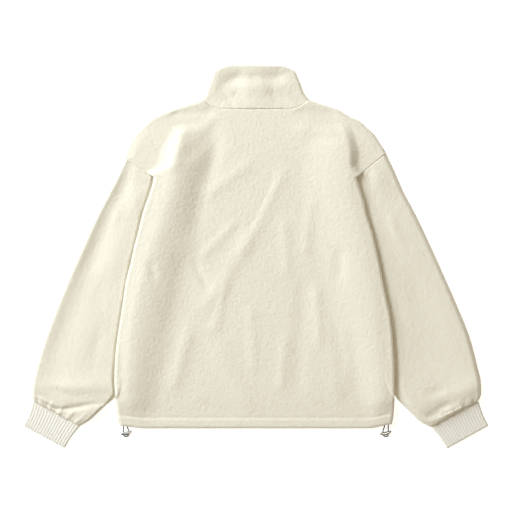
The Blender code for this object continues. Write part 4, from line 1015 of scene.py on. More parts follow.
@dataclass(frozen=True)
class DullNickel:
    """Plated metal with fine scratches and slightly worn roughness."""

    colour: tuple[float, float, float] = (0.60, 0.60, 0.61)
    dark: tuple[float, float, float] = (0.38, 0.38, 0.40)

    def material(self) -> bpy.types.Material:
        """Build the finish."""
        tree = ShaderTree("dull_nickel")
        place = tree.place()
        blotch = tree.noise(place, 0.0040, 3.0, 0.6)
        scratch = tree.noise(tree.stretched(place, (1.0, 9.0, 9.0)), 0.0022, 3.0, 0.7)
        colour = tree.mix(blotch * 0.5 + scratch * 0.2, self.colour, self.dark)
        rough = blotch * 0.14 + scratch * 0.10 + 0.16
        normal = tree.bump(scratch, 0.15, 0.0001)
        return tree.surface(Base_Color=colour, Roughness=rough, Metallic=1.0, Normal=normal)


@dataclass(frozen=True)
class BraidedElastic:
    """Dark round elastic with a fine braid that runs round it; the braid's low parts are painted darker as
    shade.
    """

    light: tuple[float, float, float] = (0.085, 0.080, 0.078)
    dark: tuple[float, float, float] = (0.022, 0.021, 0.021)
    pitch: float = 0.0011

    def material(self) -> bpy.types.Material:
        """Build the finish."""
        tree = ShaderTree("braided_elastic")
        place = tree.place()
        across = tree.wave(place, BAND_SCALE / self.pitch, 1.5)
        other = tree.wave(tree.stretched(place, (-1.0, 1.0, 1.0)), BAND_SCALE / self.pitch, 1.5)
        weave = across * other
        # painted shade: the colour is darker where the braid's bump height is low
        colour = tree.mix(weave, self.dark, self.light)
        normal = tree.bump(weave, 0.7, 0.0003)
        return tree.surface(Base_Color=colour, Roughness=0.75, Normal=normal)


@dataclass(frozen=True)
class WovenTape:
    """Twill zip tape, a shade warmer than the pile, with painted shade in the weave's low yarns."""

    light: tuple[float, float, float] = (0.80, 0.73, 0.59)
    dark: tuple[float, float, float] = (0.58, 0.51, 0.39)
    pitch: float = 0.0009

    def material(self) -> bpy.types.Material:
        """Build the finish."""
        tree = ShaderTree("woven_tape")
        place = tree.place()
        twill = tree.wave(place, BAND_SCALE / self.pitch, 0.6)
        yarn = tree.noise(tree.stretched(place, (1.0, 0.25, 1.0)), 0.0006, 2.0, 0.6)
        height = twill * 0.7 + yarn * 0.3
        # painted shade: the colour is darker where the weave's bump height is low
        colour = tree.mix(height, self.dark, self.light)
        normal = tree.bump(height, 0.6, 0.0003)
        return tree.surface(Base_Color=colour, Roughness=0.85, Normal=normal, Sheen_Weight=0.1)


@dataclass(frozen=True)
class MouldedTeeth:
    """Satin moulded plastic of the zip's teeth, in the pile's colour."""

    colour: tuple[float, float, float] = (0.80, 0.74, 0.61)
    dull: tuple[float, float, float] = (0.70, 0.63, 0.50)

    def material(self) -> bpy.types.Material:
        """Build the finish."""
        tree = ShaderTree("moulded_teeth")
        place = tree.place()
        blotch = tree.noise(place, 0.0050, 3.0, 0.6)
        grain = tree.noise(place, 0.0004, 2.0, 0.6)
        colour = tree.mix(blotch * 0.6, self.colour, self.dull)
        return tree.surface(Base_Color=colour, Roughness=blotch * 0.15 + 0.32,
                            Normal=tree.bump(grain, 0.12, 0.0001))


@dataclass(frozen=True)
class SewingThread:
    """Matt twisted thread of the hem stitches, with painted shade in the twist's low bands."""

    light: tuple[float, float, float] = (0.74, 0.66, 0.52)
    dark: tuple[float, float, float] = (0.52, 0.45, 0.33)

    def material(self) -> bpy.types.Material:
        """Build the finish."""
        tree = ShaderTree("sewing_thread")
        twist = tree.wave(tree.place(), 420.0, 0.4)
        # painted shade: the colour is darker in the twist's low bands, which the bump also sinks
        colour = tree.mix(twist, self.dark, self.light)
        return tree.surface(Base_Color=colour, Roughness=0.8, Normal=tree.bump(twist, 0.4, 0.0002))


@dataclass(frozen=True)
class PaperFloor:
    """Matt white paper with a faint tooth."""

    colour: tuple[float, float, float] = (0.93, 0.93, 0.93)
    tooth: tuple[float, float, float] = (0.90, 0.90, 0.90)

    def material(self) -> bpy.types.Material:
        """Build the finish."""
        tree = ShaderTree("paper_floor")
        grain = tree.noise(tree.place(), 0.012, 3.0, 0.6)
        colour = tree.mix(grain * 0.3, self.colour, self.tooth)
        return tree.surface(Base_Color=colour, Roughness=0.9, Specular_IOR_Level=0.1,
                            Emission_Color=(1.0, 1.0, 1.0), Emission_Strength=0.60)


@dataclass
class Wardrobe:
    """Every finish of the jacket, built once."""

    fleece: bpy.types.Material = field(default_factory=lambda: PileFleece().material())
    rib_knit: bpy.types.Material = field(default_factory=lambda: RibKnit().material())
    metal: bpy.types.Material = field(default_factory=lambda: DullNickel().material())
    elastic: bpy.types.Material = field(default_factory=lambda: BraidedElastic().material())
    tape: bpy.types.Material = field(default_factory=lambda: WovenTape().material())
    teeth: bpy.types.Material = field(default_factory=lambda: MouldedTeeth().material())
    thread: bpy.types.Material = field(default_factory=lambda: SewingThread().material())


# ---------------------------------------------------------------- mesh building
def link(name: str, data: bpy.types.ID, material: bpy.types.Material) -> bpy.types.Object:
    """Put a mesh or curve in the scene.

    Args:
        name: the piece's name.
        data: its mesh or curve.
        material: its finish.

    Returns:
        The new object, at the origin.
    """
    data.materials.clear()
    data.materials.append(material)
    item = bpy.data.objects.new(name, data)
    bpy.context.scene.collection.objects.link(item)
    return item


def dress(item: bpy.types.Object, body: str, slot: str, *nodes: str) -> bpy.types.Object:
    """Let a piece ride on a body, standing for the CAD nodes named, which are hidden."""
    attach(item, body)
    if nodes:
        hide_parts(*nodes)
    return item


def every(count: int, step: int) -> np.ndarray:
    """Every step-th number below count, with the last one."""
    return np.unique(np.append(np.arange(0, count, step), count - 1))


def grid_faces(rows: int, columns: int, first: int, ring: bool) -> np.ndarray:
    """Quads of a grid of points, numbered row by row from first."""
    spans = columns if ring else columns - 1
    row = np.arange(rows - 1)[:, None] * columns + first
    near = np.arange(spans)[None]
    far = (near + 1) % columns
    corners = [row + near, row + far, row + columns + far, row + columns + near]
    return np.stack(np.broadcast_arrays(*corners), axis=-1).reshape(-1, 4)


@dataclass
class ClothWall:
    """A closed cloth wall: a fine outer face, and a coarse lining whose points lie under some of it.

    ring joins the last column to the first one.
    """

    outer: np.ndarray
    lining: np.ndarray
    nap: np.ndarray
    ring: bool = False
    row_step: int = 6
    column_step: int = 6

    def rims(self, rows: np.ndarray, columns: np.ndarray, first: int) -> list[list[int]]:
        """Faces that close the wall along its free edges.

        Args:
            rows: the fine rows that the lining has.
            columns: the fine columns that the lining has.
            first: number of the lining's first point.

        Returns:
            The faces, as lists of point numbers.
        """
        count_rows, count_columns = self.outer.shape[:2]
        faces = []

        def strip(fine: Callable, coarse: Callable, stops: Sequence[int]) -> None:
            """Add the faces between two neighbours of the lining's edge and the fine edge."""
            for k, (low, high) in enumerate(zip(stops[:-1], stops[1:])):
                edge = [fine(n) for n in range(low, high + 1)]
                faces.append(edge + [coarse(k + 1), coarse(k)])

        wide = len(columns)
        around = list(columns) + ([count_columns] if self.ring else [])
        for fine_row, coarse_row in ((0, 0), (count_rows - 1, len(rows) - 1)):
            strip(lambda n: fine_row * count_columns + n % count_columns,
                  lambda k: first + coarse_row * wide + k % wide, around)
        if not self.ring:
            for fine_column, coarse_column in ((0, 0), (count_columns - 1, wide - 1)):
                strip(lambda n: n * count_columns + fine_column,
                      lambda k: first + k * wide + coarse_column, list(rows))
        return faces

    def mesh(self, name: str) -> bpy.types.Mesh:
        """Build the wall's mesh, with the nap stored on its points."""
        count_rows, count_columns = self.outer.shape[:2]
        rows = every(count_rows, self.row_step)
        columns = np.arange(0, count_columns, self.column_step) if self.ring else every(
            count_columns, self.column_step)
        lining = self.lining[np.ix_(rows, columns)]
        first = count_rows * count_columns
        points = np.concatenate([self.outer.reshape(-1, 3), lining.reshape(-1, 3)])
        faces = grid_faces(count_rows, count_columns, 0, self.ring).tolist()
        faces += grid_faces(len(rows), len(columns), first, self.ring)[:, ::-1].tolist()
        faces += self.rims(rows, columns, first)
        mesh = bpy.data.meshes.new(name)
        mesh.from_pydata(points.tolist(), [], faces)
        bm = bmesh.new()
        bm.from_mesh(mesh)
        bmesh.ops.recalc_face_normals(bm, faces=bm.faces)
        bm.to_mesh(mesh)
        bm.free()
        nap = mesh.attributes.new("nap", "FLOAT", "POINT")
        values = np.concatenate([self.nap.reshape(-1), np.full(len(points) - first, 0.5)])
        nap.data.foreach_set("value", values.astype(np.float32))
        mesh.shade_smooth()
        mesh.set_sharp_from_angle(angle=math.radians(75))
        return mesh


def grid_normals(points: np.ndarray, ring: bool) -> np.ndarray:
    """Unit normals of a grid of points, along rows cross along columns."""
    if ring:
        around = np.roll(points, -1, axis=1) - np.roll(points, 1, axis=1)
    else:
        around = np.gradient(points, axis=1)
    down = np.gradient(points, axis=0)
    normal = np.cross(around, down)
    return normal / np.maximum(np.linalg.norm(normal, axis=-1, keepdims=True), 1e-12)


@dataclass(frozen=True)
class Pile:
    """The curly pile on a cloth face: how far it stands out and how deep its gaps are."""

    stand: float = 0.0008
    depth: float = 0.0008
    curl: float = 0.0062
    clump: float = 0.0170
    seed: int = 11

    def nap(self, points: np.ndarray) -> np.ndarray:
        """Height of the pile at each point, from 0 in a gap to 1 on a curl."""
        warp = np.stack([GradientNoise(0.016, self.seed + n).at(points) for n in range(3)], axis=-1)
        bent = points + 0.0022 * warp
        curls = Pebbles(self.curl, self.seed).at(bent)
        clumps = 0.5 + 0.5 * GradientNoise(self.clump, self.seed + 5).at(points)
        fine = 0.5 + 0.5 * GradientNoise(0.0046, self.seed + 7).at(points)
        return np.clip(0.50 * curls + 0.28 * clumps + 0.22 * fine, 0.0, 1.0)

    def raise_face(self, points: np.ndarray, outward: np.ndarray, stand: np.ndarray) -> tuple:
        """Give a smooth face its pile.

        Args:
            points: the face's grid.
            outward: its unit normals.
            stand: 1 where the pile stands out freely, 0 where it is pressed flat.

        Returns:
            The grid with its pile, and the nap at each point.
        """
        nap = self.nap(points)
        push = self.stand * stand - self.depth * (1.0 - nap) * (0.35 + 0.65 * stand)
        return points + push[..., None] * outward, nap


# ---------------------------------------------------------------- cloth pieces
@dataclass
class BackPanel:
    """The back, which lies on the fronts and shows its whole face."""

    rows: int = 306
    columns: int = 306
    side_radius: float = 0.0052
    hem_radius: float = 0.0040
    shoulder_radius: float = 0.0060
    seam_radius: float = 0.0010
    overhang: float = 0.0006
    flat: tuple[float, float] = (0.585, 0.690)
    area: float = 0.345

    def build(self, pile: Pile, wardrobe: Wardrobe) -> bpy.types.Object:
        y_row = np.linspace(HEM_Y - self.overhang, NECK_Y, self.rows)
        at_seam = smoothstep(ARMHOLE_Y - 0.004, ARMHOLE_Y + 0.002, y_row)
        out = self.overhang * (1.0 - at_seam)
        left = -BodyPlan.side_edge(y_row, Side.LEFT) - out
        right = BodyPlan.side_edge(y_row, Side.RIGHT) + out
        share = np.linspace(0.0, 1.0, self.columns)
        x = left[:, None] + (right - left)[:, None] * share[None]
        y_row = np.repeat(y_row[:, None], self.columns, axis=1)
        y = BodyPlan.place_rows(x, y_row, BodyPlan.back_neck)
        lift = BodyPlan.back_lift(x, y_row)
        under = lift + CLOTH + LAYER_GAP + BodyPlan.back_loft(x, y, y_row, BACK_FOLDS)
        over = lift + 2 * CLOTH + LAYER_GAP + BodyPlan.back_loft(x, y, y_row, BACK_FOLDS + BACK_CREASES)
        over = over - self.edges(x, y)
        face = np.stack([x, y, over], axis=-1)
        outward = -grid_normals(face, ring=False)
        outward *= np.sign(np.mean(outward[..., 2]))
        outer, nap = pile.raise_face(face, outward, np.ones_like(x))
        lining = np.stack([x, y, np.minimum(under, outer[..., 2] - LINING_GAP)], axis=-1)
        wall = ClothWall(outer, lining, nap)
        item = link("back_pile", wall.mesh("back_pile"), wardrobe.fleece)
        dress(item, JACKET, "fleece", "back")
        return item

    def edges(self, x: np.ndarray, y: np.ndarray) -> np.ndarray:
        """How far the rounded edges and seams fall at each point."""
        plan = np.stack([x, y], axis=-1)
        drop = np.zeros_like(x)
        radii = {"side": self.side_radius, "armhole": self.seam_radius, "shoulder": self.shoulder_radius}
        for part, radius in radii.items():
            for side in Side:
                line = BodyPlan.outline(part, side, BodyPlan.back_neck)
                drop = np.maximum(drop, edge_drop(distance_to(plan, line), radius))
        hem = BodyPlan.outline("hem", Side.LEFT, BodyPlan.back_neck)
        drop = np.maximum(drop, edge_drop(distance_to(plan, hem), self.hem_radius))
        neck_x = np.linspace(-NECK_X, NECK_X, 60)
        neck = np.column_stack([neck_x, NECK_Y + BodyPlan.back_neck(neck_x)])
        return np.maximum(drop, edge_drop(distance_to(plan, neck), self.seam_radius))


@dataclass
class FrontPanel:
    """A front, flat on the ground with its pile pressed, whose side rises over the sleeve."""

    side: Side
    rows: int = 216
    columns: int = 92
    side_radius: float = 0.0044
    edge_radius: float = 0.0030
    inset: float = 0.0012
    flat: tuple[float, float] = (0.290, 0.690)
    area: float = 0.168

    def build(self, pile: Pile, wardrobe: Wardrobe) -> bpy.types.Object:
        sign = self.side.value
        y_row = np.linspace(HEM_Y + self.inset, NECK_Y, self.rows)
        neck_reach, neck_height = BodyPlan.front_neck_corners()
        outer_edge = BodyPlan.side_edge(y_row, self.side) - self.inset
        inner_edge = np.interp(y_row, neck_height, neck_reach) + SEAM
        share = np.linspace(0.0, 1.0, self.columns)
        x = sign * (inner_edge[:, None] + (outer_edge - inner_edge)[:, None] * share[None])
        y_row = np.repeat(y_row[:, None], self.columns, axis=1)
        y = BodyPlan.place_rows(x, y_row, BodyPlan.front_shoulder)
        lift = BodyPlan.side_lift(x, y_row)
        rise = self.edges(x, y, neck_reach, neck_height)
        creases = fold_height(np.abs(x), y, FRONT_CREASES)
        under = lift + rise + creases * smoothstep(0.004, 0.03, np.abs(x) - ZIP_HALF_GAP)
        face = np.stack([x, y, under], axis=-1)
        outward = grid_normals(face, ring=False)
        outward *= -np.sign(np.mean(outward[..., 2]))
        outer, nap = pile.raise_face(face, outward, np.zeros_like(x))
        outer[..., 2] = np.maximum(outer[..., 2], 0.0)
        lining = np.stack([x, y, np.maximum(lift + CLOTH, outer[..., 2] + LINING_GAP)], axis=-1)
        name = f"front_{self.side.word}_pile"
        wall = ClothWall(outer, lining, nap)
        item = link(name, wall.mesh(name), wardrobe.fleece)
        dress(item, JACKET, "fleece", f"front_{self.side.word}")
        return item

    def edges(self, x: np.ndarray, y: np.ndarray, neck_reach: np.ndarray,
              neck_height: np.ndarray) -> np.ndarray:
        """How far the rounded edges rise off the ground at each point."""
        plan = np.stack([x, y], axis=-1)
        rise = np.zeros_like(x)
        for part in ("side", "armhole", "shoulder", "hem"):
            line = BodyPlan.outline(part, self.side, BodyPlan.front_shoulder)
            rise = np.maximum(rise, edge_drop(distance_to(plan, line), self.side_radius))
        neck = np.column_stack([self.side.value * neck_reach, neck_height])
        rise = np.maximum(rise, edge_drop(distance_to(plan, neck), self.edge_radius))
        centre = np.array([[self.side.value * ZIP_HALF_GAP, HEM_Y], [self.side.value * ZIP_HALF_GAP, NECK_Y]])
        return np.maximum(rise, edge_drop(distance_to(plan, centre), self.edge_radius))


@dataclass
class Sleeve:
    """A full sleeve laid flat, gathered into its cuff; its inner strip lies under the body's side."""

    side: Side
    rows: int = 236
    top: int = 76
    bottom: int = 40
    fold: int = 8
    outer_run: float = 0.010
    soft_floor: float = 0.0010
    seam_radius: float = 0.0010
    cuff_radius: float = 0.0052
    gathers_from: float = 0.84
    gathers_full: float = 0.97
    pucker_share: float = 0.3
    puckers: float = 11.3
    pucker_shift: float = 1.3
    flat: tuple[float, float] = (0.360, 0.530)
    area: float = 0.150

    def sections(self) -> list[SleeveRow]:
        """The sleeve's table read closely, one section a row of the wall."""
        table = SLEEVES[self.side]
        knots = np.arange(len(table), dtype=float)
        at = (len(table) - 1) * np.linspace(0.0, 1.0, self.rows)
        columns = [through(knots, [getattr(row, name) for row in table], at) for name in SleeveRow._fields]
        return [SleeveRow(*values) for values in zip(*columns)]

    def top_height(self, row: SleeveRow, along: float, width: float, distance: np.ndarray) -> np.ndarray:
        """Height of the upper layer at distances from the outer fold."""
        fold_top = 2 * SLEEVE_EDGE
        share = distance / width
        outer_rise = smoothstep(0.0, self.outer_run, distance)
        inner_run = SLEEVE_INNER_RUN[self.side]
        inner_rise = smoothstep(row.tuck - SLEEVE_EDGE, row.tuck + inner_run, width - distance)
        soft = np.zeros_like(distance)
        for fold in SLEEVE_FOLDS[self.side] + SLEEVE_CREASES[self.side]:
            aside = share - fold.across
            near = ((along - fold.along - fold.slant * aside) / fold.reach_along) ** 2
            near = near + (aside / fold.reach_across) ** 2
            soft += fold.height * np.exp(-near)
        gathered = smoothstep(self.gathers_from, self.gathers_full, along)
        soft += GATHER_DEPTH * gathered * np.sin(2 * math.pi * GATHERS * share)
        pucker = np.sin(2 * math.pi * self.puckers * share + self.pucker_shift)
        soft += self.pucker_share * GATHER_DEPTH * gathered * pucker
        room = row.crown - fold_top + soft
        room = 0.5 * (room + np.sqrt(room * room + self.soft_floor ** 2))
        return fold_top + room * outer_rise * inner_rise

    def section(self, width: float, radius: float, depth: float,
                top: np.ndarray) -> tuple[np.ndarray, np.ndarray]:
        """One ring of points.

        Args:
            width: the section's width.
            radius: radius of its folds.
            depth: how far inside the outer face the ring lies.
            top: heights of the upper layer, from outer to inner fold.

        Returns:
            Distances from the outer fold, and heights.
        """
        r = radius - depth
        turn = np.radians(np.linspace(90.0, -90.0, self.fold + 2))[1:-1]
        across = np.linspace(radius, width - radius, self.top)
        back = np.linspace(width - radius, radius, self.bottom)
        s = np.concatenate([across, width - radius + r * np.cos(turn), back, radius - r * np.cos(turn[::-1])])
        z = np.concatenate([top - depth, radius + r * np.sin(turn), np.full(self.bottom, depth),
                            radius + r * np.sin(turn[::-1])])
        return s, z

    def build(self, pile: Pile, wardrobe: Wardrobe) -> bpy.types.Object:
        outer = []
        lining = []
        for index, row in enumerate(self.sections()):
            start, end = row.folds(self.side)
            width = np.hypot(*(end - start))
            across = (end - start) / width
            along = index / (self.rows - 1)
            top = self.top_height(row, along, width, np.linspace(SLEEVE_EDGE, width - SLEEVE_EDGE, self.top))
            for grid, depth in ((outer, 0.0), (lining, LINING_DEPTH)):
                s, z = self.section(width, SLEEVE_EDGE, depth, top)
                plan = start + s[:, None] * across
                grid.append(np.column_stack([plan, z]))
        face = np.array(outer)
        inside = np.array(lining)
        drop = self.ends(face)
        upper = smoothstep(0.004, 0.009, face[..., 2])
        face[..., 2] -= drop * upper
        outward = grid_normals(face, ring=True)
        middle = self.top // 2
        outward *= np.sign(outward[self.rows // 2, middle, 2])
        stand = smoothstep(*PILE_FREE, face[..., 2])
        outer_face, nap = pile.raise_face(face, outward, stand)
        outer_face[..., 2] = np.maximum(outer_face[..., 2], 0.0)
        under_pile = np.minimum(inside[..., 2], outer_face[..., 2] - 0.001)
        inside[..., 2] = np.where(upper > 0.5, under_pile, inside[..., 2])
        name = f"sleeve_{self.side.word}_pile"
        wall = ClothWall(outer_face, inside, nap, ring=True, row_step=6, column_step=4)
        item = link(name, wall.mesh(name), wardrobe.fleece)
        dress(item, JACKET, "fleece", f"sleeve_{self.side.word}")
        return item

    def ends(self, face: np.ndarray) -> np.ndarray:
        """How far the upper layer falls at the armhole seam and into the cuff."""
        table = SLEEVES[self.side]
        drop = np.zeros(face.shape[:2])
        for row, radius in ((table[0], self.seam_radius), (table[-1], self.cuff_radius)):
            distance = distance_to(face[..., :2], row.folds(self.side))
            drop = np.maximum(drop, edge_drop(distance, radius))
        return drop


@dataclass
class Cuff:
    """A rib-knit cuff: a flattened tube whose ribs run along it."""

    side: Side
    rows: int = 26
    points_a_rib: int = 10
    narrowing: float = 0.125
    waist: float = 0.004
    sway: float = 0.06
    sway_turn: float = 5.0
    rim_radius: float = 0.0016
    rim_share: float = 0.7
    flat: tuple[float, float] = (0.205, 0.056)

    def build(self, wardrobe: Wardrobe) -> bpy.types.Object:
        sign = self.side.value
        start, end = SLEEVES[self.side][-1].folds(self.side)
        seam_width = np.hypot(*(end - start))
        across = (end - start) / seam_width
        down = np.array([across[1], -across[0]]) * -sign
        count = CUFF_RIBS * self.points_a_rib
        share_around = np.arange(count) / count
        outer = []
        lining = []
        naps = []
        knit = []
        for share in np.linspace(0.0, 1.0, self.rows):
            width = seam_width * (1.0 - self.narrowing * share) - self.waist * math.sin(math.pi * share)
            middle = (start + end) / 2 + down * (SEAM + CUFF_LENGTH * share)
            sway = self.sway * math.sin(self.sway_turn * share + sign) / CUFF_RIBS
            rib = 0.5 + 0.5 * np.cos(2 * math.pi * CUFF_RIBS * share_around)
            rim = edge_drop(np.array(CUFF_LENGTH * min(share, 1.0 - share)), self.rim_radius)
            inset = CUFF_RIB * (1.0 - rib) + self.rim_share * rim
            total = 2 * (width - 2 * CUFF_EDGE) + 2 * math.pi * CUFF_EDGE
            for grid, depth in ((outer, inset), (lining, np.full(count, CUFF_WALL))):
                s, z = self.ring((share_around + sway) % 1.0 * total, width, depth)
                plan = middle + s[:, None] * across
                grid.append(np.column_stack([plan, z]))
            naps.append(rib)
            knit.append(np.column_stack([share_around * seam_width * 2, np.full(count, CUFF_LENGTH * share)]))
        name = f"cuff_{self.side.word}_knit"
        wall = ClothWall(np.array(outer), np.array(lining), np.array(naps), ring=True,
                         row_step=5, column_step=5)
        mesh = wall.mesh(name)
        self.store_knit(mesh, np.array(knit).reshape(-1, 2))
        item = link(name, mesh, wardrobe.rib_knit)
        dress(item, JACKET, "rib_knit", f"cuff_{self.side.word}")
        return item

    @staticmethod
    def ring(distance: np.ndarray, width: float, inset: np.ndarray) -> tuple[np.ndarray, np.ndarray]:
        """Places and heights on the flattened ring at distances round it."""
        flat = width - 2 * CUFF_EDGE
        turn = math.pi * CUFF_EDGE
        radius = CUFF_EDGE - inset
        first = (distance - flat) / CUFF_EDGE
        second = (distance - 2 * flat - turn) / CUFF_EDGE
        on_top = distance < flat
        on_turn = distance < flat + turn
        on_bottom = distance < 2 * flat + turn
        s = np.select([on_top, on_turn, on_bottom],
                      [distance - flat / 2, flat / 2 + radius * np.sin(first), flat * 1.5 + turn - distance],
                      -flat / 2 - radius * np.sin(second))
        z = np.select([on_top, on_turn, on_bottom],
                      [radius, radius * np.cos(first), -radius], -radius * np.cos(second))
        return s, CUFF_EDGE + z

    @staticmethod
    def store_knit(mesh: bpy.types.Mesh, knit: np.ndarray) -> None:
        """Store the places on the knit as a UV map, in metres; the lining gets zeros."""
        layer = mesh.uv_layers.new(name="knit")
        corners = np.empty(len(mesh.loops), dtype=np.int64)
        mesh.loops.foreach_get("vertex_index", corners)
        values = np.zeros((len(mesh.vertices), 2))
        values[:len(knit)] = knit
        layer.data.foreach_set("uv", values[corners].astype(np.float32).reshape(-1))


@dataclass
class Collar:
    """The stand collar: one band folded flat at both sides and open at the centre front."""

    rows: int = 44
    back_columns: int = 104
    front_columns: int = 40
    fold_columns: int = 9
    seam_radius: float = 0.0012
    top_radius: float = 0.0024
    flat: tuple[float, float] = (0.420, 0.095)
    area: float = 0.036

    def places(self) -> list[tuple[float, str, float]]:
        """Columns from centre front to centre front: distance at the neck seam, layer, turn in the fold."""
        fold_start = NECK_X - SLEEVE_EDGE
        turns = np.radians(np.linspace(-90.0, 90.0, self.fold_columns + 2))[1:-1]
        half = [(x, "front", 0.0) for x in np.linspace(ZIP_HALF_GAP + SEAM, fold_start, self.front_columns)]
        half += [(fold_start + SLEEVE_EDGE * math.cos(turn), "fold", turn) for turn in turns]
        half += [(x, "back", 0.0) for x in np.linspace(fold_start, 0.0, self.back_columns // 2)[:-1]]
        left = [(-x, layer, turn) for x, layer, turn in half]
        return left + [(0.0, "back", 0.0)] + half[::-1]

    def column(self, place: tuple[float, str, float], rise: np.ndarray, depth: np.ndarray) -> np.ndarray:
        """Points up one column of the band.

        Args:
            place: the column, as places() gives it.
            rise: shares from neck seam to top edge.
            depth: how far inside the outer face each point lies.

        Returns:
            One point a row.
        """
        x, layer, turn = place
        fold_start = NECK_X - SLEEVE_EDGE
        half = read(COLLAR_ROWS, "rise", "left" if x < 0 else "right", rise)
        low = self.bottom(x, layer == "back" or turn > 0)
        reach = min(abs(x), fold_start)
        if layer == "back":
            across = reach * (half - SLEEVE_EDGE) / fold_start
        else:
            narrowing = (half - SLEEVE_EDGE - ZIP_HALF_GAP) / (fold_start - ZIP_HALF_GAP)
            across = ZIP_HALF_GAP + (reach - ZIP_HALF_GAP) * narrowing
        if layer == "front":
            z = depth
        elif layer == "fold":
            across = across + (SLEEVE_EDGE - depth) * math.cos(turn)
            z = SLEEVE_EDGE + (SLEEVE_EDGE - depth) * math.sin(turn)
        else:
            crown = COLLAR_LOFT * (1.0 - (x / fold_start) ** 2)
            hollow = COLLAR_HOLLOW * np.sin(math.pi * rise) * smoothstep(0.01, 0.05, abs(x))
            z = 2 * SLEEVE_EDGE + np.maximum(crown - hollow, 0.0) - depth
        across = np.copysign(across, x)
        top = self.top(across)
        y = low + (top - low) * rise
        if layer == "back":
            fade = smoothstep(0.0, 0.02, half - np.abs(across))
            z = z + fold_height(across, y, COLLAR_CREASES) * fade
        return np.column_stack([across, y, z])

    @staticmethod
    def bottom(x: float, is_back: bool) -> float:
        """Height of the neck seam at one column, on the back layer or the front one."""
        if is_back:
            return float(NECK_Y + BodyPlan.back_neck(x) + SEAM)
        return float(np.interp(abs(x), *BodyPlan.front_neck_corners()) + 2 * SEAM)

    @staticmethod
    def top(x: np.ndarray) -> np.ndarray:
        """Height of the top edge."""
        corner = COLLAR_CORNER * smoothstep(0.045, 0.090, np.abs(x)) ** 1.5
        return COLLAR_TOP - corner - 0.02 * np.maximum(x, 0.0)

    def build(self, pile: Pile, wardrobe: Wardrobe) -> bpy.types.Object:
        rise = np.linspace(0.0, 1.0, self.rows)
        height = COLLAR_TOP - NECK_Y - NECK_RISE
        to_top = (1.0 - rise) * height
        to_seam = rise * height
        seam = edge_drop(to_seam, self.seam_radius)
        top = edge_drop(to_top, self.top_radius)
        outer = []
        lining = []
        for place in self.places():
            outer.append(self.column(place, rise, top + seam))
            lining.append(self.column(place, rise, LINING_DEPTH - 0.8 * top))
        face = np.array(outer).transpose(1, 0, 2)
        inside = np.array(lining).transpose(1, 0, 2)
        outward = grid_normals(face, ring=False)
        outward *= np.sign(outward[self.rows // 2, len(outer) // 2, 2])
        stand = smoothstep(*PILE_FREE, face[..., 2])
        outer_face, nap = pile.raise_face(face, outward, stand)
        outer_face[..., 2] = np.maximum(outer_face[..., 2], 0.0)
        wall = ClothWall(outer_face, inside, nap, row_step=4, column_step=4)
        item = link("collar_pile", wall.mesh("collar_pile"), wardrobe.fleece)
        dress(item, JACKET, "fleece", "collar")
        return item


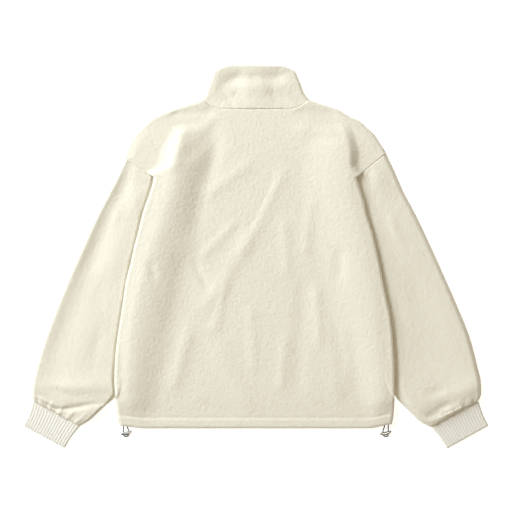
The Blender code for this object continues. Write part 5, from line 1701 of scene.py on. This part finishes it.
# ---------------------------------------------------------------- cords and toggles
@dataclass
class HemCord:
    """The elastic loop that leaves the hem tunnel at one corner, through its metal toggle."""

    side: Side
    length: float = 0.066
    step: float = 0.0009
    toggle_stations: int = 41
    toggle_sides: int = 20
    tip_depth: float = 0.0009
    belly_depth: float = 0.0029
    tip_height: float = 0.0012
    bow: float = 0.0022
    bow_shift: float = 0.0004

    def across(self, x: float) -> float:
        """Place across on this side of a place on the left side."""
        shift = RIGHT_CORD_SHIFT if self.side is Side.RIGHT else 0.0
        return -self.side.value * x + shift

    def route(self, step: float) -> list[Vector]:
        """Points a step apart on a smooth curve through the route's own points."""
        points = np.array([(self.across(p.x), p.y, p.z) for p in CORD_ROUTE])
        run = run_along(points)
        dense = np.linspace(0.0, run[-1], 400)
        place = np.clip(np.searchsorted(run, dense) - 1, 0, len(run) - 2)
        span = np.diff(run)[place][:, None]
        t = ((dense - run[place])[:, None]) / span
        tangent = np.gradient(points, run, axis=0)
        line = hermite(t, span, points, tangent, place)
        reach = run_along(line)
        at = np.linspace(0.0, reach[-1], max(2, round(reach[-1] / step)) + 1)
        return [Vector([float(np.interp(a, reach, line[:, axis])) for axis in range(3)]) for a in at]

    def tube(self, name: str, radius: float, step: float, material: bpy.types.Material) -> bpy.types.Object:
        """A round tube along the route, with filled caps."""
        curve = bpy.data.curves.new(name, "CURVE")
        curve.dimensions = "3D"
        curve.bevel_depth = radius
        curve.bevel_resolution = 4
        curve.use_fill_caps = True
        points = self.route(step)
        spline = curve.splines.new("POLY")
        spline.points.add(len(points) - 1)
        for knot, point in zip(spline.points, points):
            knot.co = (*point, 1.0)
        return link(name, curve, material)

    def build(self, wardrobe: Wardrobe) -> list[bpy.types.Object]:
        word = self.side.word
        cord = self.tube(f"hem_cord_{word}", CORD_DIAMETER / 2, self.step, wardrobe.elastic)
        dress(cord, JACKET, "elastic", f"cord_{word}")
        toggle = self.toggle(wardrobe)
        dress(toggle, JACKET, "metal", f"toggle_{word}")
        leaves = self.route(self.step)[0]
        return [cord, toggle]

    def toggle(self, wardrobe: Wardrobe) -> bpy.types.Object:
        """The boat-shaped toggle, bored along the cord."""
        name = f"toggle_{self.side.word}_cast"
        bm = bmesh.new()
        rings = []
        for station in range(self.toggle_stations):
            share = -1.0 + 2.0 * station / (self.toggle_stations - 1)
            full = math.sqrt(max(1.0 - share * share, 0.0))
            deep = self.tip_depth + self.belly_depth * full
            tall = self.tip_height + (TOGGLE_THICK / 2 - self.tip_height) * full ** 0.7
            middle = self.bow * share * share - self.bow_shift
            ring = []
            for k in range(self.toggle_sides):
                angle = 2 * math.pi * (k + 0.5) / self.toggle_sides
                y = middle + deep * math.cos(angle)
                z = tall * math.copysign(abs(math.sin(angle)) ** 0.8, math.sin(angle))
                ring.append(bm.verts.new((TOGGLE_HALF * share, y, z)))
            rings.append(ring)
        for low, high in zip(rings[:-1], rings[1:]):
            for j in range(self.toggle_sides):
                k = (j + 1) % self.toggle_sides
                bm.faces.new([low[j], low[k], high[k], high[j]])
        bm.faces.new(rings[0][::-1])
        bm.faces.new(rings[-1])
        bmesh.ops.recalc_face_normals(bm, faces=bm.faces)
        centre = Vector((self.across(TOGGLE_CENTRE[0]), *TOGGLE_CENTRE[1:]))
        bmesh.ops.rotate(bm, verts=bm.verts, cent=(0, 0, 0),
                         matrix=Vector((1, 0, 0)).rotation_difference(
                             Vector((math.cos(TOGGLE_TILT), math.sin(TOGGLE_TILT), 0))).to_matrix())
        bmesh.ops.translate(bm, verts=bm.verts, vec=centre)
        mesh = bpy.data.meshes.new(name)
        bm.to_mesh(mesh)
        bm.free()
        item = link(name, mesh, wardrobe.metal)
        bore = self.tube("bore", TOGGLE_BORE / 2, 4 * self.step, wardrobe.metal)
        tool = plain_mesh(bore, "bore_mesh", wardrobe.metal)
        cut = item.modifiers.new("bore", "BOOLEAN")
        cut.operation = "DIFFERENCE"
        cut.object = tool
        bored = plain_mesh(item, name + "_bored", wardrobe.metal)
        bpy.data.objects.remove(tool, do_unlink=True)
        bored.data.shade_smooth()
        bored.data.set_sharp_from_angle(angle=math.radians(40))
        bored.name = name
        return bored


def plain_mesh(item: bpy.types.Object, name: str, material: bpy.types.Material) -> bpy.types.Object:
    """Turn an object with its modifiers into a plain welded mesh, and remove the object.

    Args:
        item: the object.
        name: the new object's name.
        material: its finish.

    Returns:
        The new object.
    """
    graph = bpy.context.evaluated_depsgraph_get()
    mesh = bpy.data.meshes.new_from_object(item.evaluated_get(graph))
    bm = bmesh.new()
    bm.from_mesh(mesh)
    bmesh.ops.remove_doubles(bm, verts=bm.verts, dist=1e-6)
    bm.to_mesh(mesh)
    bm.free()
    bpy.data.objects.remove(item, do_unlink=True)
    return link(name, mesh, material)


# ---------------------------------------------------------------- repeats by Geometry Nodes
class RepeatTree:
    """A Geometry Nodes tree with named inputs, built node by node."""

    def __init__(self, name: str, **inputs: float) -> None:
        """Start a tree with a geometry input and named number inputs."""
        self.tree = bpy.data.node_groups.new(name, "GeometryNodeTree")
        face = self.tree.interface
        face.new_socket("Geometry", in_out="INPUT", socket_type="NodeSocketGeometry")
        self.values = inputs
        for key in inputs:
            face.new_socket(key, in_out="INPUT", socket_type="NodeSocketFloat")
        face.new_socket("Geometry", in_out="OUTPUT", socket_type="NodeSocketGeometry")
        self.start = self.tree.nodes.new("NodeGroupInput")
        self.end = self.tree.nodes.new("NodeGroupOutput")

    def node(self, kind: str, settings: dict | None = None, inputs: dict | None = None):
        """Add a node; inputs hold values or output sockets, by name or number."""
        made = self.tree.nodes.new(kind)
        for key, value in (settings or {}).items():
            setattr(made, key, value)
        for key, value in (inputs or {}).items():
            if isinstance(value, bpy.types.NodeSocket):
                self.tree.links.new(value, made.inputs[key])
            else:
                made.inputs[key].default_value = value
        return made

    def input(self, name: str) -> bpy.types.NodeSocket:
        """A named input of the tree."""
        return self.start.outputs[name]

    def finish(self, geometry: bpy.types.NodeSocket, material: bpy.types.Material) -> None:
        """Realize the instances, give them the material and end the tree."""
        real = self.node("GeometryNodeRealizeInstances", inputs={0: geometry})
        painted = self.node("GeometryNodeSetMaterial",
                            inputs={"Geometry": real.outputs[0], "Material": material})
        self.tree.links.new(painted.outputs[0], self.end.inputs[0])

    def apply(self, item: bpy.types.Object, name: str, material: bpy.types.Material) -> bpy.types.Object:
        """Run the tree on an object and return its result as a plain mesh object."""
        modifier = item.modifiers.new(name, "NODES")
        modifier.node_group = self.tree
        for socket in self.tree.interface.items_tree:
            if socket.in_out == "INPUT" and socket.name in self.values:
                modifier[socket.identifier] = float(self.values[socket.name])
        return plain_mesh(item, name, material)


def path_object(name: str, points: np.ndarray, material: bpy.types.Material) -> bpy.types.Object:
    """An open line of edges through points, as a mesh object for a tree to run on."""
    mesh = bpy.data.meshes.new(name)
    edges = [(k, k + 1) for k in range(len(points) - 1)]
    mesh.from_pydata(points.tolist(), edges, [])
    return link(name, mesh, material)


@dataclass
class HemStitches:
    """The row of stitches along the hem tunnel's top."""

    pitch: float = 0.0040
    length: float = 0.0030
    thickness: float = 0.0007
    sink: float = 0.0003

    def path(self) -> np.ndarray:
        """The stitch line over the back, just in the groove."""
        x = np.linspace(-0.272, 0.272, 240)
        y_row = np.full_like(x, HEM_Y + HEM_BAND)
        y = BodyPlan.place_rows(x, y_row, BodyPlan.back_neck)
        loft = BodyPlan.back_loft(x, y, y_row, BACK_FOLDS + BACK_CREASES)
        z = BodyPlan.back_lift(x, y_row) + 2 * CLOTH + LAYER_GAP + loft
        return np.column_stack([x, y, z - self.sink])

    def build(self, wardrobe: Wardrobe) -> bpy.types.Object:
        """Build the stitches."""
        tree = RepeatTree("hem_stitches", Pitch=self.pitch, Length=self.length, Thickness=self.thickness)
        line = tree.node("GeometryNodeMeshToCurve", inputs={"Mesh": tree.start.outputs[0]})
        spots = tree.node("GeometryNodeCurveToPoints", {"mode": "LENGTH"},
                          {"Curve": line.outputs[0], "Length": tree.input("Pitch")})
        ball = tree.node("GeometryNodeMeshUVSphere", inputs={"Segments": 6, "Rings": 4, "Radius": 0.5})
        size = tree.node("ShaderNodeCombineXYZ", inputs={0: tree.input("Thickness"),
                                                         1: tree.input("Thickness"),
                                                         2: tree.input("Length")})
        copies = tree.node("GeometryNodeInstanceOnPoints",
                           inputs={"Points": spots.outputs["Points"], "Instance": ball.outputs[0],
                                   "Rotation": spots.outputs["Rotation"], "Scale": size.outputs[0]})
        tree.finish(copies.outputs[0], wardrobe.thread)
        item = path_object("hem_stitch_path", self.path(), wardrobe.thread)
        made = tree.apply(item, "hem_stitches", wardrobe.thread)
        made.data.shade_smooth()
        return dress(made, JACKET, "fleece")


@dataclass
class ZipFastener:
    """The centre-front zip: woven tapes, two rows of teeth, and the metal box, slider and pull."""

    pitch: float = 0.0026
    tooth_width: float = 0.0034
    tooth_length: float = 0.0013
    tooth_height: float = 0.0022

    def teeth(self, wardrobe: Wardrobe) -> bpy.types.Object:
        """The teeth of both rows, which mesh in the middle."""
        low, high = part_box("zip_chain")
        count = int((high.y - low.y) / self.pitch)
        points = [(0.0, low.y + self.pitch * (k + 0.5), CHAIN_Z) for k in range(count)]
        tree = RepeatTree("zip_teeth", Width=self.tooth_width, Length=self.tooth_length,
                          Height=self.tooth_height, Reach=self.tooth_width * 0.38, Half=self.pitch / 2)
        size = tree.node("ShaderNodeCombineXYZ", inputs={0: tree.input("Width"), 1: tree.input("Length"),
                                                         2: tree.input("Height")})
        block = tree.node("GeometryNodeMeshCube", inputs={"Size": size.outputs[0]})
        soft = tree.node("GeometryNodeSubdivisionSurface", inputs={"Mesh": block.outputs[0], "Level": 1,
                                                                   "Edge Crease": 0.75})
        rows = tree.node("GeometryNodeJoinGeometry")
        for sign in (-1.0, 1.0):
            side = tree.node("ShaderNodeMath", {"operation": "MULTIPLY"}, {0: tree.input("Reach"), 1: sign})
            step = tree.node("ShaderNodeMath", {"operation": "MULTIPLY"},
                             {0: tree.input("Half"), 1: 0.5 * sign})
            move = tree.node("ShaderNodeCombineXYZ", inputs={0: side.outputs[0], 1: step.outputs[0]})
            moved = tree.node("GeometryNodeSetPosition", inputs={"Geometry": tree.start.outputs[0],
                                                                 "Offset": move.outputs[0]})
            copies = tree.node("GeometryNodeInstanceOnPoints", inputs={"Points": moved.outputs[0],
                                                                       "Instance": soft.outputs[0]})
            tree.tree.links.new(copies.outputs[0], rows.inputs[0])
        tree.finish(rows.outputs[0], wardrobe.teeth)
        mesh = bpy.data.meshes.new("zip_spots")
        mesh.from_pydata(points, [], [])
        made = tree.apply(link("zip_spots", mesh, wardrobe.teeth), "zip_teeth_rows", wardrobe.teeth)
        return dress(made, JACKET, "zip_teeth", "zip_chain")

    def build(self, wardrobe: Wardrobe) -> list[bpy.types.Object]:
        """Build the teeth and give the CAD nodes of the zip their finishes."""
        for node, finish in (("zip_tape_left", wardrobe.tape), ("zip_tape_right", wardrobe.tape),
                             ("zip_box", wardrobe.metal), ("zip_slider", wardrobe.metal),
                             ("zip_pull", wardrobe.metal)):
            repaint(node, finish)
        return [self.teeth(wardrobe)]


def repaint(node: str, finish: bpy.types.Material) -> None:
    """Give a CAD node that stays a better finish."""
    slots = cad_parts[node].material_slots
    if not slots:
        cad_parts[node].data.materials.append(finish)
    for slot in slots:
        slot.material = finish


# ---------------------------------------------------------------- studio
@dataclass
class Studio:
    """Camera straight above, soft light from the upper left, and a white paper floor."""

    lens: float = 100.0
    sensor: float = 36.0
    view_width: float = 1.0455
    view_plane: float = 0.012
    centre: tuple[float, float] = (-0.001, 0.004)
    key_place: tuple[float, float, float] = (-3.60, 2.35, 2.75)
    key_power: float = 352.0
    key_size: float = 3.9
    key_colour: tuple[float, float, float] = (0.905, 0.985, 1.070)
    fill_place: tuple[float, float, float] = (0.3, -0.2, 4.0)
    fill_power: float = 31.0
    fill_size: float = 1.4
    fill_colour: tuple[float, float, float] = (1.0, 0.885, 0.69)
    sky: float = 0.21

    def camera(self) -> bpy.types.Object:
        """The camera, looking straight down with +Y up in the picture."""
        data = bpy.data.cameras.new("camera")
        data.lens = self.lens
        data.sensor_width = self.sensor
        item = bpy.data.objects.new("camera", data)
        item.location = (*self.centre, self.view_plane + self.view_width * self.lens / self.sensor)
        bpy.context.scene.collection.objects.link(item)
        bpy.context.scene.camera = item
        return item

    def area_light(self, name: str, place: tuple, size: float, power: float,
                   colour: tuple) -> bpy.types.Object:
        """A square soft light aimed at the jacket."""
        data = bpy.data.lights.new(name, "AREA")
        data.shape = "SQUARE"
        data.size = size
        data.energy = power
        data.color = colour
        item = bpy.data.objects.new(name, data)
        item.location = place
        item.rotation_euler = (-Vector(place)).to_track_quat("-Z", "Y").to_euler()
        bpy.context.scene.collection.objects.link(item)
        return item

    def floor(self) -> bpy.types.Object:
        """The floor, just under the jacket."""
        bm = bmesh.new()
        bmesh.ops.create_grid(bm, x_segments=1, y_segments=1, size=6.0)
        bmesh.ops.translate(bm, verts=bm.verts, vec=(0.0, 0.0, -0.0004))
        mesh = bpy.data.meshes.new("floor")
        bm.to_mesh(mesh)
        bm.free()
        item = link("floor", mesh, PaperFloor().material())
        return item

    def build(self) -> None:
        """Build the studio."""
        self.floor()
        self.area_light("key", self.key_place, self.key_size, self.key_power, self.key_colour)
        self.area_light("fill", self.fill_place, self.fill_size, self.fill_power, self.fill_colour)
        world = bpy.data.worlds.new("studio")
        world.use_nodes = True
        back = world.node_tree.nodes["Background"]
        back.inputs["Color"].default_value = (*self.fill_colour, 1.0)
        back.inputs["Strength"].default_value = self.sky
        bpy.context.scene.world = world
        bpy.context.scene.view_settings.view_transform = "Standard"


def main() -> None:
    """Build the studio and every piece of the jacket, in order."""
    logging.basicConfig(level=logging.INFO, format="%(message)s")
    studio = Studio()
    studio.camera()
    wardrobe = Wardrobe()
    pile = Pile()
    for side in Side:
        for item in HemCord(side).build(wardrobe):
            LOG.info("made %s", item.name)
    pieces = [BackPanel().build(pile, wardrobe)]
    for side in Side:
        pieces.append(FrontPanel(side).build(pile, wardrobe))
        pieces.append(Sleeve(side).build(pile, wardrobe))
        pieces.append(Cuff(side).build(wardrobe))
    pieces.append(Collar().build(pile, wardrobe))
    pieces.append(HemStitches().build(wardrobe))
    pieces += ZipFastener().build(wardrobe)
    for item in pieces:
        LOG.info("made %s: %d faces", item.name, len(item.data.polygons))
    studio.build()


if __name__ == "__main__":
    main()
